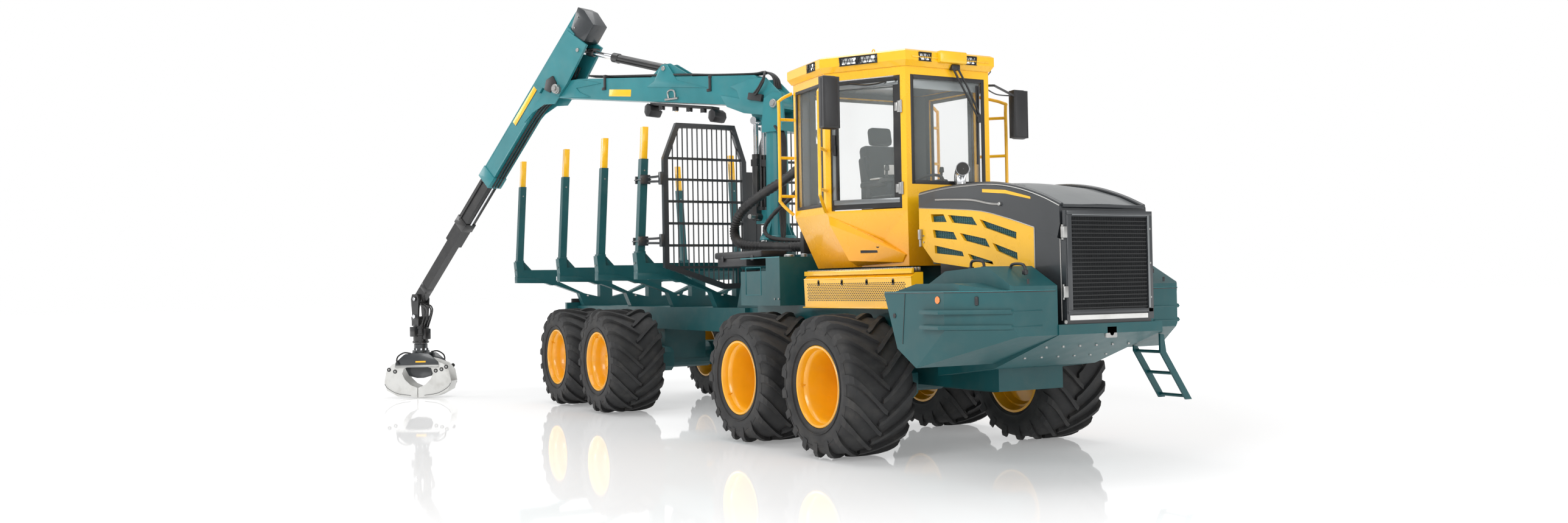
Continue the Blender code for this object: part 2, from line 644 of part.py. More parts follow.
def wall_box(start, end, margin, low, high, depth=0.30, offset=0.0, end_margin=None):
    """A box across the wall that stands between two plan corners, a margin short of each."""
    end_margin = margin if end_margin is None else end_margin
    start, end = Vector((*start, 0)), Vector((*end, 0))
    along = (end - start).normalized()
    out = Vector((along.y, -along.x, 0))
    centre = (start + end) / 2 + out * offset + along * (margin - end_margin) / 2
    half = ((end - start).length - margin - end_margin) / 2
    shape = box((-half, -depth / 2, low), (half, depth / 2, high))
    turn = Matrix(((along.x, -along.y, 0), (along.y, along.x, 0), (0, 0, 1))).to_4x4()
    return moved(shape, (centre.x, centre.y, 0), turn)


def cab_shell():
    """Floor tub, pillars and top ring of the cab, hollow, with its windows and its door's opening cut."""
    a, b, c, d = CAB_PLAN
    outer = lofted([ring(CAB_FLOOR_PLAN, 0, CAB_FLOOR_Z), ring(CAB_PLAN, 0, CAB_BELT_Z), ring(CAB_PLAN, 0, CAB_TOP_Z)])
    inner = lofted([ring(CAB_FLOOR_PLAN, CAB_WALL, CAB_FLOOR_Z + CAB_WALL), ring(CAB_PLAN, CAB_WALL, CAB_BELT_Z),
                    ring(CAB_PLAN, CAB_WALL, CAB_TOP_Z + 0.1)])
    cuts = [inner,
            box((0.7, -a[1] + 0.06, WINDSHIELD_LOW), (1.1, a[1] - 0.06, WINDOW_HIGH)),
            box((-1.1, -d[1] + 0.08, 2.05), (-0.6, d[1] - 0.08, WINDOW_HIGH))]
    for side in (1, -1):
        corners = [(x, side * y) for x, y in (a, b, c)]
        pairs = ((corners[0], corners[1], 0.055), (corners[1], corners[2], 0.06))
        for start, end, margin in pairs:
            cuts.append(wall_box(start, end, margin, CAB_BELT_Z + 0.02 if margin < 0.06 else WINDOW_LOW, WINDOW_HIGH))
    node("cab_shell", combine(outer, cuts=cuts), "front", finish("cab_shell", **PAINT_YELLOW))


def cab_roof():
    """A shallow faceted roof with an overhang."""
    shape = lofted([ring(CAB_PLAN, -0.015, CAB_TOP_Z + FIT), ring(CAB_PLAN, -ROOF_OVERHANG, CAB_TOP_Z + 0.05),
                    ring(CAB_PLAN, -ROOF_OVERHANG, ROOF_TOP_Z - 0.02), ring(CAB_PLAN, -0.02, ROOF_TOP_Z)])
    node("cab_roof", shape, "front", finish("cab_roof", **PAINT_YELLOW))


def cab_door():
    """The glazed door between the right A and B pillars, as a frame, with its mirror on an arm."""
    start, end = (CAB_PLAN[0][0], -CAB_PLAN[0][1]), (CAB_PLAN[1][0], -CAB_PLAN[1][1])
    low, high = CAB_BELT_Z + 0.03, WINDOW_HIGH - 0.01
    frame = wall_box(end, start, 0.065, low, high, 0.04, -0.022, 0.055 + FIT)
    hole = wall_box(end, start, 0.13, low + 0.065, high - 0.065)
    node("cab_door", combine(frame, cuts=[hole]), "cab_door", finish("cab_door", colour=BLACK, roughness=0.4))


def mirror(name, side, holder):
    """A mirror head on a bent arm."""
    head = box((0.52, 1.04, 3.02), (0.60, 1.22, 3.50))
    along = (Vector(CAB_PLAN[1]) - Vector(CAB_PLAN[0])).normalized()
    out = Vector((along.y, -along.x))
    foot = Vector(CAB_PLAN[0]) + along * (0.095 if side < 0 else 0.028) + out * (FIT - (0.002 if side < 0 else 0))
    knee = foot + out * 0.06
    arm = pipe([(*foot, 3.475), (*knee, 3.475), (0.58, 1.07, 3.44)], 0.012)
    shape = combine(head, [arm])
    if side < 0:
        shape = mirrored_and_gone(shape)
    node(name, shape, holder, finish(name, colour=BLACK, roughness=0.4))


def pane(name, low, high, tint=GLASS_TINT):
    node(name, box(low, high), "front", finish(name, colour=tint, roughness=0.05))


def seat():
    """Cushion, backrest and headrest on a pedestal, facing forward."""
    cushion = box((-0.20, -0.25, 2.12), (0.30, 0.25, 2.26))
    back = plate([(-0.24, 2.14), (-0.10, 2.14), (-0.18, 2.80), (-0.30, 2.80)], 'Y', -0.23, 0.23)
    head = plate([(-0.30, 2.78), (-0.20, 2.78), (-0.23, 3.02), (-0.32, 3.02)], 'Y', -0.14, 0.14)
    pedestal = box((-0.12, -0.16, CAB_FLOOR_Z + CAB_WALL + FIT), (0.18, 0.16, 2.14))
    arms = [box((-0.16, y, 2.36), (0.24, y + 0.07, 2.42)) for y in (-0.33, 0.26)]
    posts = [box((-0.16, -0.33, 2.20), (-0.08, -0.20, 2.40)), box((-0.16, 0.20, 2.20), (-0.08, 0.33, 2.40))]
    node("seat", combine(cushion, [back, head, pedestal] + posts + arms), "front",
         finish("seat", colour=CLOTH, roughness=0.9))


def console():
    """Steering column with its wheel, on the cab's floor."""
    column = pipe([(0.66, 0, CAB_FLOOR_Z + CAB_WALL + FIT), (0.66, 0, 1.92), (0.61, 0, 2.10), (0.486, 0, 2.512)], 0.04)
    centre, radius, lean = Vector((0.49, 0, 2.50)), 0.19, math.radians(35)
    rim = [(centre.x + radius * math.cos(a) * math.cos(lean), radius * math.sin(a),
            centre.z + radius * math.cos(a) * math.sin(lean)) for a in (i * math.tau / 20 for i in range(20))]
    wheel_rim = pipe(rim, 0.015, closed=True)
    spoke = pipe([rim[5], tuple(centre), rim[15]], 0.012)
    node("steering_column", combine(column, [spoke, wheel_rim]), "front",
         finish("steering_column", colour=BLACK, roughness=0.5))


body("cab_door", (CAB_PLAN[0][0] + 0.01, -CAB_PLAN[0][1] - 0.03, 2.9))
cab_shell()
cab_roof()
cab_door()
mirror("mirror_right", -1, "cab_door")
mirror("mirror_left", 1, "front")
pane("windshield", (0.845, -CAB_PLAN[0][1] + 0.06 + FIT, WINDSHIELD_LOW + FIT),
     (0.845 + GLASS, CAB_PLAN[0][1] - 0.06 - FIT, WINDOW_HIGH - FIT))
pane("rear_window", (-0.745, -CAB_PLAN[3][1] + 0.08 + FIT, 2.05 + FIT),
     (-0.745 + GLASS, CAB_PLAN[3][1] - 0.08 - FIT, WINDOW_HIGH - FIT))
seat()
console()


# ---------------------------------------------------------------- rear frame, bunk and headboard
def rear_frame():
    """Tongue of the steering joint, neck, long box beam, axle tube and pedestal."""
    tongue = plate(rounded_tongue(JOINT_X, -2.9, 0.15), 'Z', 0.66 + FIT, 1.02 - FIT)
    neck = box((-3.4, -0.32, 0.75), (-2.27, 0.32, FRAME_TOP))
    beam = box((FRAME_END_X, -FRAME_HALF_WIDTH, FRAME_LOW), (-2.6, FRAME_HALF_WIDTH, FRAME_TOP))
    axle = drum((REAR_BOGIE_X, -BOGIE_IN + FIT, AXLE_HEIGHT), (REAR_BOGIE_X, BOGIE_IN - FIT, AXLE_HEIGHT),
                AXLE_TUBE_RADIUS)
    pedestal = box((REAR_BOGIE_X - 0.3, -0.30, 0.62), (REAR_BOGIE_X + 0.3, 0.30, 1.10))
    tail = box((FRAME_END_X - 0.03, -0.55, 0.98), (FRAME_END_X + 0.05, 0.55, 1.36))
    node("rear_frame", combine(tongue, [neck, beam, axle, pedestal, tail]), "rear", finish("rear_frame", **PAINT_TEAL))


def bunk(name, x):
    """One bolster across the rear frame with its two stakes, leaning in a little."""
    half = BUNK_THICKNESS / 2
    side = [(0.36, FRAME_TOP + FIT), (0.44, 1.50), (1.12, 1.74), (1.40, 1.745), (1.42, 1.98), (1.31, 1.98),
            (1.30, BUNK_TOP)]
    outline = side + [(-y, z) for y, z in reversed(side)]
    shape = plate(outline, 'X', x - half, x + half)
    windows = [plate([(s * 0.10, 1.44), (s * 0.36, 1.50), (s * 0.80, 1.70), (s * 0.80, 1.76), (s * 0.10, 1.76)], 'X',
                     x - 0.2, x + 0.2) for s in (1, -1)]
    stakes = []
    wide = STAKE_SIZE / 2
    for s in (1, -1):
        foot, head = s * STAKE_FOOT_Y, s * STAKE_HEAD_Y
        slope = (head - foot) / (STAKE_SHOULDER_Z - STAKE_FOOT_Z)
        tip = foot + slope * (STAKE_TIP_Z - STAKE_FOOT_Z)
        column = [(foot - wide, STAKE_FOOT_Z), (foot + wide, STAKE_FOOT_Z), (head + wide, STAKE_SHOULDER_Z),
                  (head - wide, STAKE_SHOULDER_Z)]
        top = [(head - wide * 0.7, STAKE_SHOULDER_Z - 0.1), (head + wide * 0.7, STAKE_SHOULDER_Z - 0.1),
               (tip + wide * 0.7, STAKE_TIP_Z), (tip - wide * 0.7, STAKE_TIP_Z)]
        stakes += [plate(column, 'X', x - wide, x + wide), plate(top, 'X', x - 0.03, x + 0.03)]
    node(name, combine(shape, stakes, windows), "rear", finish(name, **PAINT_TEAL))


def headboard():
    """Two barred panels, one each side of the crane, on a middle post."""
    x0, x1 = HEADBOARD_X - HEADBOARD_TUBE / 2, HEADBOARD_X + HEADBOARD_TUBE / 2
    side = [(0.06, 1.545), (0.38, 1.535), (1.17, 1.80), (1.17, 3.09), (1.00, 3.51), (0.22, 3.51), (0.07, 3.07)]
    rows = [1.80, 2.06, 2.32, 2.58, 2.84, 3.09]
    tube = HEADBOARD_TUBE
    panels = []
    for s in (1, -1):
        panel = plate([(s * y, z) for y, z in side], 'X', x0, x1)
        inner = [(0.06 + tube, 1.545 + tube), (0.37, 1.60), (1.17 - tube, 1.845), (1.17 - tube, 3.08),
                 (0.96, 3.51 - tube), (0.26, 3.51 - tube), (0.07 + tube, 3.06)]
        window = plate([(s * y, z) for y, z in inner], 'X', x0 - 0.1, x1 + 0.1)
        bars = [box((HEADBOARD_X - 0.012, min(s * 0.10, s * 1.15), z - 0.015),
                    (HEADBOARD_X + 0.012, max(s * 0.10, s * 1.15), z + 0.015)) for z in rows]
        combine(panel, cuts=[window])
        combine(panel, bars)
        panels.append(panel)
    post = box((x0 + 0.008, -0.065, FRAME_TOP + FIT), (x1 - 0.008, 0.065, 2.95))
    node("headboard", combine(post, panels), "rear", finish("headboard", colour=CHARCOAL, roughness=0.5))


rear_frame()
for number, bunk_x in enumerate(BUNK_X, 1):
    bunk(f"bunk_{number}", bunk_x)
headboard()


# ---------------------------------------------------------------- crane
def crane_base():
    """Foot of the crane with its two slewing cylinders across it."""
    foot = plate([(-2.95, FRAME_TOP + FIT), (-2.16, FRAME_TOP + FIT), (-2.22, 1.70), (-2.80, 1.70)], 'Y', -0.30, 0.30)
    collar = drum((PILLAR_X, 0, 1.66), (PILLAR_X, 0, CRANE_BASE_TOP), 0.21)
    cylinders = [drum((-2.98, s * 0.16, 1.84), (-2.02, s * 0.16, 1.84), 0.085, sides=16) for s in (1, -1)]
    node("crane_base", combine(foot, [collar] + cylinders), "rear", finish("crane_base", **PAINT_TEAL))


def crane_plate(outline, low, high):
    """A plate in the crane's plane from (reach, height) points."""
    return plate(outline, 'Y', low, high)


def cross_boss(point, radius, half, sides=20):
    """A round boss across the crane's plane."""
    return drum((point[0], -half, point[1]), (point[0], half, point[1]), radius, sides=sides)


def pillar():
    """Turning pillar with the fork for the boom and the lug for the lift cylinders."""
    column = drum((0, 0, CRANE_BASE_TOP + FIT), (0, 0, 3.46), PILLAR_RADIUS, 0.125)
    head = box((-0.20, -FORK_OUT, 3.36), (0.10, FORK_OUT, 3.50))
    cheeks = [crane_plate([(-0.22, 3.45), (0.10, 3.45), (0.06, 3.76), (-0.06, 3.82), (-0.20, 3.80)], low, high)
              for low, high in ((FORK_IN, FORK_OUT), (-FORK_OUT, -FORK_IN))]
    lug = box((0.05, -LIFT_SIDE + 0.045, 2.30), (0.30, LIFT_SIDE - 0.045, 2.46))
    node("crane_pillar", combine(column, [head, lug] + cheeks), "crane", finish("crane_pillar", colour=TURQUOISE))


def boom():
    """Main boom, with root boss, tip boss, the lug for the lift cylinders and that for the stick's cylinder."""
    outline = [(-0.19, 3.62), (-0.02, 3.58), (0.40, 3.66), (0.71, 3.755), (3.242, 4.085), (3.60, 4.13),
               (3.66, 4.22), (3.60, 4.33), (3.18, 4.338), (0.238, 4.056), (-0.14, 3.78)]
    beam = crane_plate(outline, -BOOM_HALF_WIDTH, BOOM_HALF_WIDTH)
    bosses = [cross_boss(BOOM_ROOT, 0.085, FORK_IN - FIT), cross_boss(BOOM_TIP, 0.085, FORK_IN - FIT)]
    eye_x, eye_z = LIFT_EYE
    lift_lug = crane_plate([(eye_x - 0.09, 3.70), (eye_x - 0.055, eye_z), (eye_x - 0.035, eye_z - 0.05),
                            (eye_x + 0.035, eye_z - 0.05), (eye_x + 0.055, eye_z), (eye_x + 0.15, 3.72)],
                           -LIFT_SIDE + 0.045, LIFT_SIDE - 0.045)
    cylinder_lugs = [crane_plate([(1.14, 4.10), (1.60, 4.36), (1.74, 4.36), (1.98, 4.18)], low, high)
                     for low, high in ((0.055, 0.075), (-0.075, -0.055))]
    node("crane_boom", combine(beam, bosses + [lift_lug] + cylinder_lugs), "boom",
         finish("crane_boom", colour=TURQUOISE))


def axis_frame(start, end):
    """Unit vector along, and upward normal of, a line in the crane's plane."""
    along = Vector((end[0] - start[0], end[1] - start[1])).normalized()
    return along, Vector((-along.y, along.x))


def on_line(start, along, normal, distance, height=0.0):
    spot = Vector(start) + along * distance + normal * height
    return (spot.x, spot.y)


def strip(start, end, first, last, half_height, low, high):
    """A straight bar along a line in the crane's plane."""
    along, normal = axis_frame(start, end)
    outline = [on_line(start, along, normal, d, h) for d, h in
               ((first, -half_height), (last, -half_height), (last, half_height), (first, half_height))]
    return crane_plate(outline, low, high)


def crane_drum(start, end, first, last, radius, side=0.0, sides=16):
    """A cylinder along a line in the crane's plane, from first to last along it."""
    along, normal = axis_frame(start, end)
    a, b = (on_line(start, along, normal, d) for d in (first, last))
    return drum((a[0], side, a[1]), (b[0], side, b[1]), radius, sides=sides)


def lift_cylinders():
    """Barrels joined by their top yoke, and rods joined by their eye pin."""
    inner = LIFT_SIDE - 0.045 + FIT
    outer = LIFT_SIDE + 0.05
    barrel_top = 0.74
    yoke = [box((LIFT_FOOT[0] - 0.045, -outer, LIFT_FOOT[1] + 0.60), (LIFT_FOOT[0] + 0.045, outer, LIFT_FOOT[1] + 0.68))]
    barrels = [crane_drum(LIFT_FOOT, LIFT_EYE, 0.12, barrel_top, 0.052, s * LIFT_SIDE) for s in (1, -1)]
    eyes = [drum((LIFT_FOOT[0], s * inner, LIFT_FOOT[1]), (LIFT_FOOT[0], s * outer, LIFT_FOOT[1]), 0.05) for s in (1, -1)]
    necks = [box((LIFT_FOOT[0] - 0.03, min(s * inner, s * outer) , LIFT_FOOT[1]),
                 (LIFT_FOOT[0] + 0.03, max(s * inner, s * outer), LIFT_FOOT[1] + 0.16)) for s in (1, -1)]
    bores = [crane_drum(LIFT_FOOT, LIFT_EYE, 0.14, barrel_top + 0.1, 0.030 + FIT * 2, s * LIFT_SIDE) for s in (1, -1)]
    shape = combine(yoke[0], barrels + eyes + necks, bores)
    node("lift_cylinder_barrels", shape, "lift_barrels", finish("lift_cylinder_barrels", colour=BLACK, roughness=0.3))
    rods = [crane_drum(LIFT_FOOT, LIFT_EYE, 0.30, 1.11, 0.030, s * LIFT_SIDE) for s in (1, -1)]
    rod_eyes = [drum((LIFT_EYE[0], s * inner, LIFT_EYE[1]), (LIFT_EYE[0], s * outer, LIFT_EYE[1]), 0.045) for s in (1, -1)]
    bridge = box((LIFT_EYE[0] - 0.02, -LIFT_SIDE, LIFT_EYE[1] - 0.115), (LIFT_EYE[0] + 0.02, LIFT_SIDE, LIFT_EYE[1] - 0.075))
    node("lift_cylinder_rods", combine(bridge, rods + rod_eyes), "lift_rods",
         finish("lift_cylinder_rods", colour=CHROME, roughness=0.15, metallic=1.0))


def stick():
    """Square tube of the stick, open at its lower end, on two lug plates that straddle the boom's tip."""
    half_h, half_w = STICK_HEIGHT / 2, STICK_WIDTH / 2
    tube = strip(STICK_TOP, CRANE_TIP, 0.0, STICK_LENGTH, half_h, -half_w, half_w)
    bore = strip(STICK_TOP, CRANE_TIP, 0.35, STICK_LENGTH + 0.2, half_h - STICK_WALL, -half_w + STICK_WALL,
                 half_w - STICK_WALL)
    along, normal = axis_frame(STICK_TOP, CRANE_TIP)
    lugs = [crane_plate([on_line(STICK_TOP, along, normal, d, h) for d, h in
                         ((0.30, 0.05), (0.22, -0.37), (0.40, -0.39), (0.82, -0.43), (1.04, -0.42), (1.20, 0.05))],
                        low, high) for low, high in ((FORK_IN, FORK_OUT), (-FORK_OUT, -FORK_IN))]
    web = [strip(STICK_TOP, CRANE_TIP, 0.26, 1.25, half_h - 0.04, -FORK_OUT + 0.01, FORK_OUT - 0.01)]
    node("crane_stick", combine(tube, web + lugs, [bore]), "stick", finish("crane_stick", colour=TURQUOISE))


def stick_cylinder():
    """Barrel and rod of the stick's cylinder, above the boom."""
    length = math.dist(STICK_CYL_FOOT, STICK_CYL_EYE)
    barrel = crane_drum(STICK_CYL_FOOT, STICK_CYL_EYE, 0.02, 0.98, 0.054)
    eye = cross_boss(STICK_CYL_FOOT, 0.045, 0.055 - FIT)
    bore = crane_drum(STICK_CYL_FOOT, STICK_CYL_EYE, 0.12, 1.1, 0.035 + FIT * 2)
    node("stick_cylinder_barrel", combine(barrel, [eye], [bore]), "stick_barrel",
         finish("stick_cylinder_barrel", colour=BLACK, roughness=0.3))
    rod = crane_drum(STICK_CYL_FOOT, STICK_CYL_EYE, 0.52, length, 0.035)
    rod_eye = cross_boss(STICK_CYL_EYE, 0.05, FORK_IN - FIT)
    node("stick_cylinder_rod", combine(rod, [rod_eye]), "stick_rod",
         finish("stick_cylinder_rod", colour=CHROME, roughness=0.15, metallic=1.0))


def extensions():
    """The two telescoping extensions, with the fork for the tip link on the second."""
    half_h = STICK_HEIGHT / 2 - STICK_WALL - FIT
    half_w = STICK_WIDTH / 2 - STICK_WALL - FIT
    first, last = STICK_LENGTH - TELE_IN_1, STICK_LENGTH + TELE_OUT_1
    outer = strip(STICK_TOP, CRANE_TIP, first, last, half_h, -half_w, half_w)
    bore = strip(STICK_TOP, CRANE_TIP, first - 0.1, last + 0.1, half_h - TELE_WALL, -half_w + TELE_WALL,
                 half_w - TELE_WALL)
    node("crane_extension_1", combine(outer, cuts=[bore]), "extension_1",
         finish("crane_extension_1", colour=BLACK, roughness=0.3))
    half_h, half_w = half_h - TELE_WALL - FIT, half_w - TELE_WALL - FIT
    tip = last + TELE_OUT_2
    bar = strip(STICK_TOP, CRANE_TIP, last - TELE_IN_2, tip, half_h, -half_w, half_w)
    boss = cross_boss(CRANE_TIP, 0.075, 0.07)
    node("crane_extension_2", combine(bar, [boss]), "extension_2",
         finish("crane_extension_2", colour=BLACK, roughness=0.3))


def tip_link():
    """Two-plate link that hangs from the crane's tip, with the rotator's housing under it."""
    x, z = CRANE_TIP
    cheeks = [crane_plate([(x - 0.06, z + 0.07), (x - 0.09, z), (x - 0.06, 1.12), (x + 0.06, 1.12), (x + 0.09, z),
                           (x + 0.06, z + 0.07)], low, high) for low, high in ((0.07 + FIT, 0.10), (-0.10, -0.07 - FIT))]
    bridge = box((x - 0.08, -0.10, 1.06), (x + 0.08, 0.10, 1.17))
    housing = drum((x, 0, 0.80), (x, 0, 1.08), 0.11)
    node("tip_link", combine(bridge, cheeks + [housing]), "tip_link", finish("tip_link", colour=BLACK, roughness=0.4))


def grapple():
    """Rotor flange with the grapple's crown, and two curved jaws on its pins."""
    x = CRANE_TIP[0]
    turn = Matrix.Translation((x, 0, 0)) @ Matrix.Rotation(GRAPPLE_YAW, 4, 'Z')
    depth = JAW_HALF_DEPTH
    flange = drum((0, 0, 0.64), (0, 0, 0.80 - FIT), 0.10)
    crown = plate([(-0.28, 0.46), (0.28, 0.46), (0.28, 0.56), (0.18, 0.66), (-0.18, 0.66), (-0.28, 0.56)], 'Y',
                  -depth, depth)
    slot = [box((min(s * 0.07, s * 0.4), -depth + 0.03, 0.30), (max(s * 0.07, s * 0.4), depth - 0.03, 0.70))
            for s in (1, -1)]
    shape = combine(crown, [flange], slot)
    node("grapple_crown", moved(shape, turn=turn), "grapple", finish("grapple_crown", colour=CHARCOAL, roughness=0.5))
    pin_x, pin_z = JAW_PIN
    reach = GRAPPLE_HALF
    outline = [(pin_x - 0.06, pin_z + 0.04), (pin_x + 0.05, pin_z + 0.065), (0.36, 0.475), (0.455, 0.36),
               (reach, 0.24), (0.445, 0.12), (0.30, 0.04), (0.005, 0.012),
               (0.005, 0.166), (0.11, 0.21), (0.19, 0.29), (0.235, 0.38), (0.225, 0.42), (pin_x - 0.02, 0.43)]
    for name, s in (("jaw_outer", 1), ("jaw_inner", -1)):
        jaw = plate([(s * a, z) for a, z in outline], 'Y', -depth + 0.03 + FIT, depth - 0.03 - FIT)
        node("grapple_" + name, moved(jaw, turn=turn), name, finish("grapple_" + name, colour=OFF_WHITE, roughness=0.5))


crane_body("boom", BOOM_ROOT)
crane_body("lift_barrels", LIFT_FOOT)
crane_body("lift_rods", LIFT_EYE, "lift_barrels")
crane_body("stick", BOOM_TIP, "boom")
crane_body("stick_barrel", STICK_CYL_FOOT, "boom")
crane_body("stick_rod", STICK_CYL_EYE, "stick_barrel")
crane_body("extension_1", STICK_TOP, "stick")
crane_body("extension_2", CRANE_TIP, "extension_1")
crane_body("tip_link", CRANE_TIP, "extension_2")
body("grapple", (CRANE_TIP[0], 0, 0.80), "tip_link")
for jaw_name, jaw_side in (("jaw_outer", 1), ("jaw_inner", -1)):
    jaw_pin = Vector((CRANE_TIP[0], 0, JAW_PIN[1])) + jaw_side * JAW_PIN[0] * Vector((math.cos(GRAPPLE_YAW),
                                                                                     math.sin(GRAPPLE_YAW), 0))
    body(jaw_name, jaw_pin, "grapple")
crane_base()
pillar()
boom()
lift_cylinders()
stick()
stick_cylinder()
extensions()
tip_link()
grapple()
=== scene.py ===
"""Looks of the forestry forwarder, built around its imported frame."""

import json
import logging
import math
from dataclasses import dataclass, field
from enum import Enum
from typing import Iterable, Optional, Sequence

import bmesh
import bpy
from bpy.types import Material, Mesh, Nodes, NodeLinks, NodeSocket, NodeTree, Object
from mathutils import Matrix, Vector

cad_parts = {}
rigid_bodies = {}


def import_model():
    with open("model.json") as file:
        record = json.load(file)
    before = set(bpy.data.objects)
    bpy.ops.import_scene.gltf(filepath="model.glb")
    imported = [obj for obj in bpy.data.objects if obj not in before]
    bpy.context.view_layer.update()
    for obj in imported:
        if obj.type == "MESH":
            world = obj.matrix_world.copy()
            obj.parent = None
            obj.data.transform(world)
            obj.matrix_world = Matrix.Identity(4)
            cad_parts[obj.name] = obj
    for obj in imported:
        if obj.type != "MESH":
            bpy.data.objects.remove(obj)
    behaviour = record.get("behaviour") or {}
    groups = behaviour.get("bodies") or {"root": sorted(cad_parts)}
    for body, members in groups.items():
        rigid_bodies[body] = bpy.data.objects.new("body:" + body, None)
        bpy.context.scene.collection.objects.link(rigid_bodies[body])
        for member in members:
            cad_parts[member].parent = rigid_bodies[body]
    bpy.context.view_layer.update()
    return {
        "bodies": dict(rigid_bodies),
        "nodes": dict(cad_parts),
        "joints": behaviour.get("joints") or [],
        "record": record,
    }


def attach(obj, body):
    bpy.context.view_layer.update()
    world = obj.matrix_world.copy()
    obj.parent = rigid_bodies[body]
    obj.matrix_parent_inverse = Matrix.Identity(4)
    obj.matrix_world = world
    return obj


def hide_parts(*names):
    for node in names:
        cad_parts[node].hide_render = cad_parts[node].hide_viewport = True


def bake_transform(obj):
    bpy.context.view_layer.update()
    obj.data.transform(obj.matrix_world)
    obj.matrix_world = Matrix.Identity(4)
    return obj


LOG = logging.getLogger("forwarder")

Point = Sequence[float]
Outline = Sequence[Sequence[float]]

MACHINE_SHIFT = Vector((3.026, 0.8357, 0.0))     # the machine's own origin, in the row frame
TO_ROW = Matrix.Translation(MACHINE_SHIFT)
PILLAR_X = -2.45
CRANE_SLEW = math.radians(203.0)
TO_CRANE = TO_ROW @ Matrix.Translation((PILLAR_X, 0, 0)) @ Matrix.Rotation(CRANE_SLEW, 4, 'Z')
SIDES = (("left", 1), ("right", -1))


class Plane(Enum):
    """The axis that an outline's plane stands square to."""

    ACROSS_X = "X"
    ACROSS_Y = "Y"
    ACROSS_Z = "Z"


